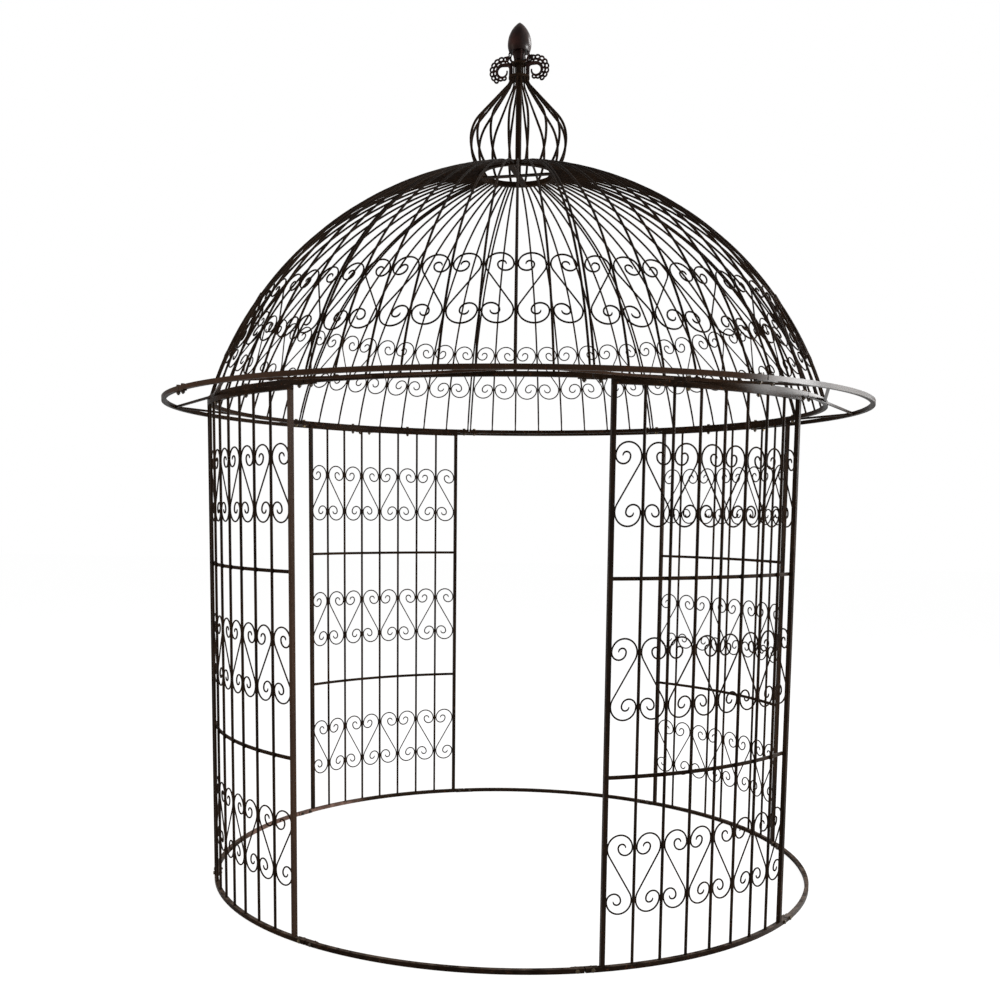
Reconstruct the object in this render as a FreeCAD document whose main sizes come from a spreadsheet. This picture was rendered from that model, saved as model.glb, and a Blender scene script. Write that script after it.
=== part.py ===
import FreeCAD, Part
import Sketcher
import math
import os

# Walk-in iron gazebo shaped like a birdcage. Millimetres, +Z up.
# The origin is on the ground, on the upright axis of the gazebo. The front doorway faces -Y.
# Angles are measured about +Z from +X, so the front is at -90 degrees.

Vector = FreeCAD.Vector
UP = Vector(0, 0, 1)

# Driving dimensions: name, value, meaning
SIZES = [
    ("wall_radius", 1220, "axis to the centre line of the base ring, the wall bars and the roof feet"),
    ("wall_height", 1883, "ground to the top of a wall panel"),
    ("panel_angle", 38.5, "degrees between the two uprights of a wall panel"),
    ("rail_side", 16, "side of the square base, top and foot rails"),
    ("upright_side", 15, "side of the square uprights"),
    ("bar_diameter", 10, "round wall bar"),
    ("lower_rail_level", 634, "ground to the middle of the lower mid rail"),
    ("upper_rail_level", 1269, "ground to the middle of the upper mid rail"),
    ("mid_rail_height", 12, "height of a mid rail"),
    ("mid_rail_depth", 6, "depth of a mid rail, towards the axis"),
    ("sill_overhang", 56, "length of a panel's base rail past its uprights"),
    ("lower_band_level", 316, "ground to the middle of the lower scroll band"),
    ("middle_band_level", 950, "ground to the middle of the middle scroll band"),
    ("upper_band_level", 1563, "ground to the middle of the upper scroll band"),
    ("scroll_height", 266, "overall height of a wall scroll"),
    ("wire_diameter", 5, "scroll wire"),
    ("stem_bend", 50, "radius of the bends at the two ends of a scroll's stem"),
    ("second_turn", 0.57, "radius of a curl's second half turn, as a share of its first"),
    ("third_turn", 0.30, "radius of a curl's third half turn, as a share of its first"),
    ("rib_diameter", 8, "round roof rib"),
    ("rib_arc_radius", 1325, "radius of the arc that a rib is bent to"),
    ("seam_offset", 7, "middle of an edge rib from the plane of its seam"),
    ("low_curl_level", 2095, "ground to the middle of the lower curls of the roof band"),
    ("high_curl_level", 2252, "ground to the middle of the upper curls of the roof band"),
    ("brim_radius", 1390, "axis to the centre line of the brim's hoop"),
    ("brace_width", 10, "width of a brim brace"),
    ("brace_height", 8, "height of a brim brace"),
    ("brace_phase", -9, "degrees that the braces are turned from the middle of a doorway"),
    ("seam_gap", 4, "gap between the ends of two rails at a joint"),
    ("splice_length", 90, "length of a splice plate"),
    ("splice_thickness", 4, "thickness of a splice plate"),
    ("splice_height", 16, "height of a sill's splice plate"),
    ("bolt_diameter", 8, "bolt shank"),
    ("bolt_hole", 8.4, "hole for a bolt"),
    ("bolt_reach", 26, "middle of a splice bolt from the middle of its joint"),
    ("wall_bolt_bays", 1.5, "middle of a wall bolt from the middle of its panel, in bays"),
    ("hex_width", 13, "bolt head and nut across their flats"),
    ("head_height", 5.3, "bolt head"),
    ("nut_height", 6.5, "nut"),
    ("crown_radius", 150, "axis to the centre line of the crown ring"),
    ("crown_level", 2826, "ground to the middle of the crown ring"),
    ("crown_width", 16, "radial width of the crown ring"),
    ("crown_height", 20, "height of the crown ring"),
    ("cross_width", 24, "width of the two cross bars in the crown ring"),
    ("cross_thickness", 6, "thickness of the cross bars"),
    ("cage_radius", 193, "widest centre line radius of the onion cage"),
    ("cage_waist_level", 2951, "ground to the widest part of the onion cage"),
    ("cage_shoulder_bend", 138, "radius of the cage wires above their widest part"),
    ("cage_neck_bend", 40, "bend radius of a cage wire under the neck"),
    ("cage_neck_radius", 36, "centre line radius of the cage wires at the neck"),
    ("neck_level", 3190, "ground to the underside of the neck collar"),
    ("cage_wire", 10, "cage wire"),
    ("collar_radius", 42, "neck collar"),
    ("collar_height", 9, "height of the neck collar"),
    ("rod_diameter", 24, "middle rod of the crown"),
    ("rod_top_level", 3262, "ground to the top of the middle rod"),
    ("plate_level", 3244, "ground to the underside of the leaf plate"),
    ("plate_height", 8, "height of the leaf plate"),
    ("stem_circle", 26, "axis to the centre line of the neck stems"),
    ("stem_diameter", 6, "neck stems between the collar and the leaf plate"),
    ("leaf_root", 34, "axis to the centre line of a leaf where it rises from the collar"),
    ("leaf_reach", 118, "axis to the outermost centre line of a curled leaf"),
    ("leaf_level", 3232, "ground to the ends of a leaf's upper half turn"),
    ("leaf_drop", 11, "straight run down the outer side of a leaf"),
    ("leaf_wire", 6, "leaf wire"),
    ("leaf_spacing", 11, "spacing of the wires of a leaf"),
    ("leaf_second_turn", 0.667, "radius of a leaf's second half turn, as a share of its first"),
    ("leaf_third_turn", 0.36, "radius of a leaf's third half turn, as a share of its first"),
    ("finial_radius", 47, "widest part of the acorn finial"),
    ("finial_waist_level", 3320, "ground to the widest part of the finial"),
    ("finial_top_level", 3404, "ground to the tip of the finial"),
    ("finial_tip_radius", 2, "flat at the tip of the finial"),
    ("finial_base_level", 3292, "ground to the flat underside of the finial's bud"),
    ("finial_base_radius", 41, "flat underside of the finial's bud"),
    ("finial_stem_radius", 22, "stem under the finial"),
    ("weld_gap", 0.2, "clearance between round pieces that touch"),
    ("rod_clearance", 0.2, "clearance between the middle rod and its collars"),
]

WALL_BARS = 7
WALL_BAYS = WALL_BARS + 1
ROOF_SECTIONS = 8
ROOF_RIBS = 7
ROOF_BAYS = ROOF_RIBS + 1
CAGE_WIRES = 16
NECK_STEMS = 4
LEAVES = 2
LEAF_WIRES = 3
SIDES = (-1, 1)
VOLUME_TOLERANCE = 0.01

QUARTER = 90.0
SECTION = 360.0 / ROOF_SECTIONS
PANELS = [("front_right", -45.0), ("rear_right", 45.0), ("rear_left", 135.0), ("front_left", -135.0)]
DOORWAYS = [("front", -90.0), ("right", 0.0), ("rear", 90.0), ("left", 180.0)]

doc = FreeCAD.newDocument("gazebo")
sheet = doc.addObject("Spreadsheet::Sheet", "Sizes")
for row, (alias, value, meaning) in enumerate(SIZES, start=1):
    sheet.set(f"A{row}", meaning)
    sheet.set(f"B{row}", str(value))
    sheet.setAlias(f"B{row}", alias)
doc.recompute()

nodes = []


def size(alias):
    """Value of a driving dimension, read from the sheet."""
    return float(sheet.get(alias))


def bound(obj, **formulas):
    """Bind properties of a document object to formulas of the sheet's cells."""
    for name, formula in formulas.items():
        obj.setExpression(name, formula)
    return obj


def turned(angle, offset=Vector(0, 0, 0)):
    """Placement turned about the gazebo's axis, after a shift in the unturned frame."""
    rotation = FreeCAD.Rotation(UP, angle)
    return FreeCAD.Placement(rotation.multVec(offset), rotation)


def export(obj, label):
    """Name a finished piece and put it on the list of pieces to write."""
    obj.Label = label
    nodes.append(obj)
    return obj


def group(name, members):
    """Several pieces as one document object."""
    compound = doc.addObject("Part::Compound", name)
    compound.Links = members
    return compound


def copy_of(master, placement):
    """A copy of a master piece at a placement, which follows that master."""
    copy = group(master.Name + "Copy", [master])
    copy.Placement = placement
    return copy


def instance(label, master, angle):
    """A finished piece: a copy of its master, turned about the gazebo's axis."""
    return export(copy_of(master, turned(angle)), label)


def repeated(label, master, placements):
    """Identical pieces that make up one finished piece, one at each placement."""
    copies = [copy_of(master, placement) for placement in placements]
    return export(group(master.Name + "Set", copies), label)


def cut(name, base, tool):
    """What is left of a base when a tool is taken from it."""
    result = doc.addObject("Part::Cut", name)
    result.Base = base
    result.Tool = tool
    return result


def arc_bar(name, inner, outer, bottom, height, half_angle):
    """Square or flat bar bent about the axis, centred on +X. The sizes are formulas, the angle in degrees."""
    solid = bound(doc.addObject("Part::Cylinder", name + "Outer"), Radius=outer, Height=height,
                  Angle=f"2 * ({half_angle})")
    core = bound(doc.addObject("Part::Cylinder", name + "Core"), Radius=inner, Height=height)
    bar = cut(name, solid, core)
    start = doc.addObject("Part::Compound", name + "Centred")
    start.Links = [bar]
    bound(start, **{"Placement.Rotation.Angle": f"-({half_angle})", "Placement.Base.z": bottom})
    return start


def rail(name, radius, bottom, half_angle):
    """Square rail of the usual section."""
    return arc_bar(name, f"{radius} - Sizes.rail_side / 2", f"{radius} + Sizes.rail_side / 2", bottom,
                   "Sizes.rail_side", half_angle)


def arc_degrees(length, radius):
    """Formula of the angle that a length takes up on a circle."""
    return f"({length}) / ({radius}) * 180 / pi"


def drills(name, placements):
    """Drills for bolt holes, each along the Z axis of its placement and long enough for every joint."""
    tools = []
    for placement in placements:
        drill = bound(doc.addObject("Part::Cylinder", name + "Drill"), Radius="Sizes.bolt_hole / 2",
                      Height="4 * Sizes.rail_side")
        middle = FreeCAD.Placement(Vector(0, 0, -2 * size("rail_side")), FreeCAD.Rotation())
        drill.Placement = placement.multiply(middle)
        tools.append(drill)
    return group(name, tools)


def bolt_master(name, grip):
    """Hexagon bolt with its nut. The head bears on Z = 0 and the grip runs down from there."""
    corner = "Sizes.hex_width / 2 / cos(30)"
    head = bound(doc.addObject("Part::Prism", name + "Head"), Circumradius=corner, Height="Sizes.head_height")
    shank = bound(doc.addObject("Part::Cylinder", name + "Shank"), Radius="Sizes.bolt_diameter / 2",
                  Height=f"{grip} + Sizes.nut_height")
    bound(shank, **{"Placement.Base.z": f"-({grip}) - Sizes.nut_height"})
    nut = bound(doc.addObject("Part::Prism", name + "Nut"), Circumradius=corner, Height="Sizes.nut_height")
    bound(nut, **{"Placement.Base.z": f"-({grip}) - Sizes.nut_height"})
    bolt = doc.addObject("Part::MultiFuse", name)
    bolt.Shapes = [head, shank, nut]
    return bolt


def origin_plane(body, role):
    """A plane or an axis of a body's own origin."""
    for feature in body.Origin.OriginFeatures:
        if feature.Role == role:
            return feature
    raise ValueError(role)


def new_sketch(body, name, plane, **formulas):
    """Sketch on a plane of the body's origin, with its offset bound to the sheet."""
    sketch = body.newObject("Sketcher::SketchObject", name)
    sketch.AttachmentSupport = [(origin_plane(body, plane), "")]
    sketch.MapMode = "FlatFace"
    for path, formula in formulas.items():
        sketch.setExpression("AttachmentOffset." + path.replace("_", "."), formula)
    return sketch


def dimension(sketch, name, constraint, formula):
    """Add a dimension to a sketch and bind it to the sheet."""
    index = sketch.addConstraint(constraint)
    sketch.renameConstraint(index, name)
    sketch.setExpression("Constraints." + name, formula)


def circle_on_x(sketch, distance, distance_formula, radius, radius_formula):
    """Circle whose middle is on the sketch's X axis."""
    circle = sketch.addGeometry(Part.Circle(Vector(distance, 0, 0), UP, radius), False)
    sketch.addConstraint(Sketcher.Constraint("PointOnObject", circle, 3, -1))
    dimension(sketch, "distance", Sketcher.Constraint("DistanceX", -1, 1, circle, 3, distance),
              distance_formula)
    dimension(sketch, "radius", Sketcher.Constraint("Radius", circle, radius), radius_formula)


def square_on_x(sketch, distance, distance_formula, side, side_formula):
    """Square whose middle is on the sketch's X axis."""
    half = side / 2
    corners = [Vector(distance + across * half, along * half, 0)
               for across, along in ((-1, -1), (1, -1), (1, 1), (-1, 1))]
    lines = [sketch.addGeometry(Part.LineSegment(corners[k], corners[(k + 1) % 4]), False) for k in range(4)]
    for k in range(4):
        sketch.addConstraint(Sketcher.Constraint("Coincident", lines[k], 2, lines[(k + 1) % 4], 1))
    for k in (0, 2):
        sketch.addConstraint(Sketcher.Constraint("Horizontal", lines[k]))
    sketch.addConstraint(Sketcher.Constraint("Vertical", lines[3]))
    sketch.addConstraint(Sketcher.Constraint("Symmetric", lines[1], 1, lines[1], 2, -1))
    dimension(sketch, "near_face", Sketcher.Constraint("DistanceX", -1, 1, lines[0], 1, distance - half),
              f"{distance_formula} - ({side_formula}) / 2")
    dimension(sketch, "width", Sketcher.Constraint("DistanceX", lines[0], 1, lines[0], 2, side), side_formula)
    dimension(sketch, "depth", Sketcher.Constraint("DistanceY", lines[1], 1, lines[1], 2, side), side_formula)


def polar_pattern(body, feature, angle_formula, count):
    """Repeat a feature about the gazebo's axis."""
    pattern = body.newObject("PartDesign::PolarPattern", feature.Name + "Pattern")
    pattern.Originals = [feature]
    pattern.Axis = (origin_plane(body, "Z_Axis"), [""])
    pattern.Occurrences = count
    pattern.setExpression("Angle", angle_formula)
    body.Tip = pattern
    return pattern


# Wall panel, modelled once with its middle on +X

CLEAR = ("(Sizes.panel_angle * pi / 180 * Sizes.wall_radius - Sizes.upright_side"
         f" - {WALL_BARS} * Sizes.bar_diameter) / {WALL_BAYS}")
BAR_PITCH = arc_degrees(f"{CLEAR} + Sizes.bar_diameter", "Sizes.wall_radius")
CLEAR_HEIGHT = "Sizes.wall_height - 2 * Sizes.rail_side"
clear_width = (math.radians(size("panel_angle")) * size("wall_radius") - size("upright_side")
               - WALL_BARS * size("bar_diameter")) / WALL_BAYS
bar_pitch = math.degrees((clear_width + size("bar_diameter")) / size("wall_radius"))


def wall_columns(name, section, width, width_formula, spread, count):
    """Upright pieces of a panel, standing on its base rail, spread evenly about +X."""
    body = doc.addObject("PartDesign::Body", name)
    sketch = new_sketch(body, name + "Section", "XY_Plane", Base_z="Sizes.rail_side")
    section(sketch, size("wall_radius"), "Sizes.wall_radius", width, width_formula)
    pad = body.newObject("PartDesign::Pad", name + "Pad")
    pad.Profile = sketch
    pad.setExpression("Length", CLEAR_HEIGHT)
    polar_pattern(body, pad, spread, count)
    body.setExpression("Placement.Rotation.Angle", f"-({spread}) / 2")
    return body


uprights = wall_columns("Uprights", square_on_x, size("upright_side"), "Sizes.upright_side",
                        "Sizes.panel_angle", 2)
wall_bars = wall_columns("WallBars", circle_on_x, size("bar_diameter") / 2, "Sizes.bar_diameter / 2",
                         f"{WALL_BARS - 1} * ({BAR_PITCH})", WALL_BARS)

# A panel's rails: the base rail runs past the uprights, the mid rails lie behind the bars
SILL_HALF = "Sizes.panel_angle / 2 + " + arc_degrees("Sizes.sill_overhang", "Sizes.wall_radius")
TOP_HALF = "Sizes.panel_angle / 2 + " + arc_degrees("Sizes.upright_side / 2", "Sizes.wall_radius")
MID_OUTER = "Sizes.wall_radius - Sizes.bar_diameter / 2 - Sizes.weld_gap"
MID_INNER = MID_OUTER + " - Sizes.mid_rail_depth"
MID_HALF = "Sizes.panel_angle / 2 - " + arc_degrees("Sizes.upright_side / 2 + Sizes.weld_gap", MID_INNER)
joint_half = (size("panel_angle") / 2
              + math.degrees((size("sill_overhang") + size("seam_gap") / 2) / size("wall_radius")))
bolt_half = math.degrees(size("bolt_reach") / size("wall_radius"))


def radial(angle):
    """Placement of a bolt that points at the axis, its head outside the base ring."""
    lay = FreeCAD.Rotation(Vector(0, 1, 0), QUARTER)
    seat = Vector(size("wall_radius") + size("rail_side") / 2, 0, size("rail_side") / 2)
    return turned(angle).multiply(FreeCAD.Placement(seat, lay))


def standing(angle, radius, level):
    """Placement of an upright bolt whose head bears on a level."""
    return turned(angle, Vector(radius, 0, level))


foot_top = size("wall_height") + size("rail_side")
wall_bolt_angle = size("wall_bolt_bays") * bar_pitch
wall_bolt_seats = [standing(side * wall_bolt_angle, size("wall_radius"), foot_top) for side in SIDES]
panel_sill_seats = [radial(side * (joint_half - bolt_half)) for side in SIDES]

base_rail = cut("BaseRail", rail("BaseRailBar", "Sizes.wall_radius", "0", SILL_HALF),
                drills("BaseRailHoles", panel_sill_seats))
TOP_RAIL_BOTTOM = "Sizes.wall_height - Sizes.rail_side"
top_rail = cut("TopRail", rail("TopRailBar", "Sizes.wall_radius", TOP_RAIL_BOTTOM, TOP_HALF),
               drills("TopRailHoles", wall_bolt_seats))
mid_rails = []
for name, level in (("LowerRail", "lower_rail_level"), ("UpperRail", "upper_rail_level")):
    mid_rails.append(arc_bar(name, MID_INNER, MID_OUTER, f"Sizes.{level} - Sizes.mid_rail_height / 2",
                             "Sizes.mid_rail_height", MID_HALF))
panel_rails = group("PanelRails", [base_rail, *mid_rails, top_rail])


# Scrolls: thin wire bent to half turns, bends and straight stems

def half_turns(start, level, radii, upwards, direction):
    """Half circles that run inwards from a start: their ends lie on one level and their radii shrink."""
    edges = []
    across = start
    for radius in radii:
        middle = across + direction * radius
        end = across + 2 * direction * radius
        crest = Vector(middle, level + (radius if upwards else -radius), 0)
        edges.append(Part.Arc(Vector(across, level, 0), crest, Vector(end, level, 0)).toShape())
        across = end
        direction = -direction
        upwards = not upwards
    return edges, Vector(across, level, 0)


def check_swept(shape, path, diameter):
    """Stop if a bent round bar has lost volume against its section times its length."""
    expected = math.pi * diameter ** 2 / 4 * path.Length
    if abs(shape.Volume / expected - 1) > VOLUME_TOLERANCE:
        raise ValueError(f"swept volume {shape.Volume} differs from {expected}")


def s_scroll(low_radius, high_radius, rise, wire):
    """Flat S-scroll seen from outside, its stem leaning left and its lower curl about the origin."""
    shares = (1.0, size("second_turn"), size("third_turn"))
    bend = size("stem_bend")
    low, low_end = half_turns(low_radius, 0, [low_radius * share for share in shares], False, -1)
    high, _ = half_turns(-high_radius, rise, [high_radius * share for share in shares], True, 1)
    first = Vector(low_radius - bend, 0, 0)
    second = Vector(bend - high_radius, rise, 0)
    apart = second - first
    lean = math.atan2(-apart.x, apart.y) + math.asin(2 * bend / apart.Length)

    def spoke(angle):
        return Vector(bend * math.cos(angle), bend * math.sin(angle), 0)

    stem = [
        Part.Arc(first + spoke(0), first + spoke(lean / 2), first + spoke(lean)).toShape(),
        Part.LineSegment(first + spoke(lean), second - spoke(lean)).toShape(),
        Part.Arc(second - spoke(lean), second - spoke(lean / 2), second - spoke(0)).toShape(),
    ]
    path = Part.Wire(Part.__sortEdges__(low + stem + high))
    tip = Part.Wire([Part.Circle(low_end, Vector(0, 1, 0), wire / 2).toShape()])
    solid = path.makePipeShell([tip], True, False)
    check_swept(solid, path, wire)
    return solid


def mirrored(shape):
    """The scroll that leans the other way."""
    return shape.mirror(Vector(0, 0, 0), Vector(1, 0, 0))


def hung(shape, tangent, upward, origin):
    """A flat scroll set up in space, its own X along the tangent and its own Y along the upward direction."""
    outward = tangent.cross(upward)
    matrix = FreeCAD.Matrix(tangent.x, upward.x, outward.x, origin.x,
                            tangent.y, upward.y, outward.y, origin.y,
                            tangent.z, upward.z, outward.z, origin.z,
                            0, 0, 0, 1)
    return shape.transformed(matrix)


def around(shape, angle):
    """A copy turned about the gazebo's axis."""
    return shape.transformed(turned(angle).toMatrix())


def solids_of(name, shapes):
    """Document object of wire pieces whose shapes are worked out from the sheet."""
    feature = doc.addObject("Part::Feature", name)
    feature.Shape = Part.makeCompound(shapes)
    return feature


def wall_scrolls():
    """Three bands of scrolls, one in each bay. The lower band starts with the other hand."""
    wire = size("wire_diameter")
    curl = clear_width / 2 - wire / 2 - size("weld_gap")
    rise = size("scroll_height") - 2 * curl - wire
    left_lean = s_scroll(curl, curl, rise, wire)
    right_lean = mirrored(left_lean)
    plane = size("wall_radius") * math.cos(math.radians(bar_pitch / 2))
    shapes = []
    for level, first_leans_left in (("lower_band_level", True), ("middle_band_level", False),
                                    ("upper_band_level", False)):
        origin = Vector(plane, 0, size(level) - rise / 2)
        for bay in range(WALL_BAYS):
            leans_left = first_leans_left == (bay % 2 == 0)
            flat = left_lean if leans_left else right_lean
            scroll = hung(flat, Vector(0, 1, 0), UP, origin)
            shapes.append(around(scroll, (bay - (WALL_BAYS - 1) / 2) * bar_pitch))
    return solids_of("PanelScrolls", shapes)


panel_scrolls = wall_scrolls()

for place, angle in PANELS:
    instance(f"wall_{place}_rails", panel_rails, angle)
    instance(f"wall_{place}_uprights", uprights, angle)
    instance(f"wall_{place}_bars", wall_bars, angle)
    instance(f"wall_{place}_scrolls", panel_scrolls, angle)


# Door sills, which close the base ring between the panels, and their splices

DOOR_HALF = f"{QUARTER / 2} - ({SILL_HALF}) - " + arc_degrees("Sizes.seam_gap", "Sizes.wall_radius")
sill_joint = QUARTER / 2 - joint_half
sill_seats = [radial(side * (sill_joint - bolt_half)) for side in SIDES]
door_sill = cut("DoorSill", rail("DoorSillBar", "Sizes.wall_radius", "0", DOOR_HALF),
                drills("SillHoles", sill_seats))
for place, angle in DOORWAYS:
    instance(f"sill_{place}", door_sill, angle)

SILL_SPLICE_OUTER = "Sizes.wall_radius - Sizes.rail_side / 2"
sill_splice = cut(
    "SillSplice",
    arc_bar("SillSpliceBar", SILL_SPLICE_OUTER + " - Sizes.splice_thickness", SILL_SPLICE_OUTER,
            "(Sizes.rail_side - Sizes.splice_height) / 2", "Sizes.splice_height",
            arc_degrees("Sizes.splice_length / 2", "Sizes.wall_radius")),
    drills("SillSpliceHoles", [radial(side * bolt_half) for side in SIDES]))
sill_joints = [panel + side * joint_half for _, panel in PANELS for side in SIDES]
repeated("sill_splice_plates", sill_splice, [turned(joint) for joint in sill_joints])


# Roof section, modelled once with its middle on +X

FOOT_TOP = "Sizes.wall_height + Sizes.rail_side"
FOOT_MIDDLE = "Sizes.wall_height + Sizes.rail_side / 2"
FOOT_HALF = f"{SECTION / 2} - " + arc_degrees("Sizes.seam_gap / 2", "Sizes.wall_radius")
seam_bolt_offset = SECTION / 2 - bolt_half
seam_seats = [standing(side * seam_bolt_offset, size("wall_radius"), foot_top) for side in SIDES]


def foot_rail(name, seats):
    """Foot rail of a roof section, drilled for its bolts."""
    bar = rail(name + "Bar", "Sizes.wall_radius", "Sizes.wall_height", FOOT_HALF)
    return cut(name, bar, drills(name + "Holes", seats))


foot_rail_open = foot_rail("FootRailOverDoor", seam_seats)
foot_rail_wall = foot_rail("FootRailOverWall", seam_seats + wall_bolt_seats)

RIB_PITCH = SECTION / ROOF_BAYS
CROWN_OUTER = "Sizes.crown_radius + Sizes.crown_width / 2"


def rib_ends():
    """Ends of a rib's arc in its own upright plane: along the plane, and above the ground."""
    foot = Vector(size("wall_radius"), foot_top - size("rail_side") / 2, 0)
    head = Vector(size("crown_radius"), size("crown_level"), 0)
    return foot, head


def rib_centre():
    """Middle of a rib's arc in its own upright plane."""
    foot, head = rib_ends()
    chord = head - foot
    depth = math.sqrt(size("rib_arc_radius") ** 2 - (chord.Length / 2) ** 2)
    inward = Vector(-chord.y, chord.x, 0).normalize()
    return (foot + head) * 0.5 + inward * depth


def rib_reach(level):
    """Distance from the axis to the middle of a rib at a level."""
    middle = rib_centre()
    return middle.x + math.sqrt(size("rib_arc_radius") ** 2 - (level - middle.y) ** 2)


def rib_pipe(body, name, angle, side):
    """One rib along an arc from foot rail to crown ring. An edge rib stands beside its seam's plane."""
    shift = f"{side} * Sizes.seam_offset"
    middle = rib_centre()
    foot, head = rib_ends()
    start = math.atan2(foot.y - middle.y, foot.x - middle.x)
    end = math.atan2(head.y - middle.y, head.x - middle.x)
    bend = size("rib_arc_radius")
    path = new_sketch(body, name + "Path", "XZ_Plane")
    path.AttachmentOffset = FreeCAD.Placement(Vector(0, 0, 0), FreeCAD.Rotation(Vector(0, 1, 0), angle))
    bound(path, **{"AttachmentOffset.Base.x": f"-({shift}) * sin({angle})",
                   "AttachmentOffset.Base.z": f"-({shift}) * cos({angle})"})
    arc = path.addGeometry(Part.ArcOfCircle(Part.Circle(middle, UP, bend), start, end), False)
    dimension(path, "arc_radius", Sketcher.Constraint("Radius", arc, bend), "Sizes.rib_arc_radius")
    for end_name, vertex, point, reach_formula, level_formula in (
            ("foot", 1, foot, "Sizes.wall_radius", FOOT_MIDDLE),
            ("head", 2, head, "Sizes.crown_radius", "Sizes.crown_level")):
        dimension(path, end_name + "_reach",
                  Sketcher.Constraint("DistanceX", -1, 1, arc, vertex, point.x), reach_formula)
        dimension(path, end_name + "_level",
                  Sketcher.Constraint("DistanceY", -1, 1, arc, vertex, point.y), level_formula)
    section = new_sketch(body, name + "Section", "XY_Plane")
    square_on = FreeCAD.Rotation(Vector(0, 1, 0), -math.degrees(start))
    section.AttachmentOffset = FreeCAD.Placement(Vector(0, 0, 0), turned(angle).Rotation.multiply(square_on))
    reach = "Sizes.wall_radius"
    bound(section, **{"AttachmentOffset.Base.x": f"{reach} * cos({angle}) - ({shift}) * sin({angle})",
                      "AttachmentOffset.Base.y": f"{reach} * sin({angle}) + ({shift}) * cos({angle})",
                      "AttachmentOffset.Base.z": FOOT_MIDDLE})
    circle_on_x(section, 0, "0", size("rib_diameter") / 2, "Sizes.rib_diameter / 2")
    pipe = body.newObject("PartDesign::AdditivePipe", name)
    pipe.Profile = section
    pipe.Spine = (path, ["Edge1"])
    return pipe, path


def trim_ribs(name, radius, radius_formula, upwards):
    """Cut the ribs off inside a round column that runs up or down from the top of the foot rails."""
    seat = new_sketch(roof_ribs, name + "Seat", "XY_Plane", Base_z=FOOT_TOP)
    circle_on_x(seat, 0, "0", radius, radius_formula)
    trim = roof_ribs.newObject("PartDesign::Pocket", name)
    trim.Profile = seat
    trim.Type = "ThroughAll"
    trim.Reversed = upwards
    roof_ribs.Tip = trim


roof_ribs = doc.addObject("PartDesign::Body", "RoofRibs")
first_rib, first_path = rib_pipe(roof_ribs, "InnerRib", -RIB_PITCH * (ROOF_RIBS - 1) / 2, 0)
polar_pattern(roof_ribs, first_rib, str(RIB_PITCH * (ROOF_RIBS - 1)), ROOF_RIBS)
rib_pipe(roof_ribs, "RightEdgeRib", -SECTION / 2, 1)
rib_pipe(roof_ribs, "LeftEdgeRib", SECTION / 2, -1)
trim_ribs("CrownTrim", size("crown_radius") + size("crown_width") / 2, CROWN_OUTER, True)
trim_ribs("FootTrim", size("brim_radius"), "Sizes.brim_radius", False)


def roof_scrolls():
    """One scroll in each bay of a roof section, narrower where the bay ends at an edge rib."""
    wire = size("wire_diameter")
    beside = size("rib_diameter") / 2 + wire / 2 + size("weld_gap")
    low_level = size("low_curl_level")
    high_level = size("high_curl_level")
    half_pitch = math.radians(RIB_PITCH / 2)
    low_reach = rib_reach(low_level)
    high_reach = rib_reach(high_level)
    low_point = Vector(low_reach * math.cos(half_pitch), 0, low_level)
    high_point = Vector(high_reach * math.cos(half_pitch), 0, high_level)
    upward = high_point - low_point
    rise = upward.Length
    upward.normalize()
    shapes = []
    for bay in range(ROOF_BAYS):
        lost = size("seam_offset") if bay in (0, ROOF_BAYS - 1) else 0.0
        low_curl = low_reach * math.sin(half_pitch) - lost / 2 - beside
        high_curl = high_reach * math.sin(half_pitch) - lost / 2 - beside
        flat = s_scroll(low_curl, high_curl, rise, wire)
        if bay % 2 == 0:
            flat = mirrored(flat)
        inwards = 1 if bay == 0 else -1
        origin = low_point + Vector(0, inwards * lost / 2, 0)
        scroll = hung(flat, Vector(0, 1, 0), upward, origin)
        shapes.append(around(scroll, (bay - (ROOF_BAYS - 1) / 2) * RIB_PITCH))
    return solids_of("RoofScrolls", shapes)


roof_section_scrolls = roof_scrolls()

for places, section_foot_rail in ((PANELS, foot_rail_wall), (DOORWAYS, foot_rail_open)):
    for place, angle in places:
        instance(f"roof_{place}_foot_rail", section_foot_rail, angle)
        instance(f"roof_{place}_ribs", roof_ribs, angle)
        instance(f"roof_{place}_scrolls", roof_section_scrolls, angle)


def under_splice(name, radius_alias, bolt_angle):
    """Splice plate under the ends of two rails that lie at the level of the foot rails."""
    radius = f"Sizes.{radius_alias}"
    bar = arc_bar(name + "Bar", f"{radius} - Sizes.rail_side / 2", f"{radius} + Sizes.rail_side / 2",
                  "Sizes.wall_height - Sizes.splice_thickness", "Sizes.splice_thickness",
                  arc_degrees("Sizes.splice_length / 2", radius))
    seats = [standing(side * bolt_angle, size(radius_alias), foot_top) for side in SIDES]
    return cut(name, bar, drills(name + "Holes", seats))


seam_splice = under_splice("SeamSplice", "wall_radius", bolt_half)
seams = [(k + 0.5) * SECTION for k in range(ROOF_SECTIONS)]
repeated("roof_seam_splice_plates", seam_splice, [turned(seam) for seam in seams])


# Brim: an outer hoop in four quarters, braced to the roof's foot rails

HOOP_HALF = f"{QUARTER / 2} - " + arc_degrees("Sizes.seam_gap / 2", "Sizes.brim_radius")
hoop_bolt = math.degrees(size("bolt_reach") / size("brim_radius"))
hoop_seats = [standing(side * (QUARTER / 2 - hoop_bolt), size("brim_radius"), foot_top) for side in SIDES]
hoop = cut("Hoop", rail("HoopBar", "Sizes.brim_radius", "Sizes.wall_height", HOOP_HALF),
           drills("HoopHoles", hoop_seats))


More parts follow.
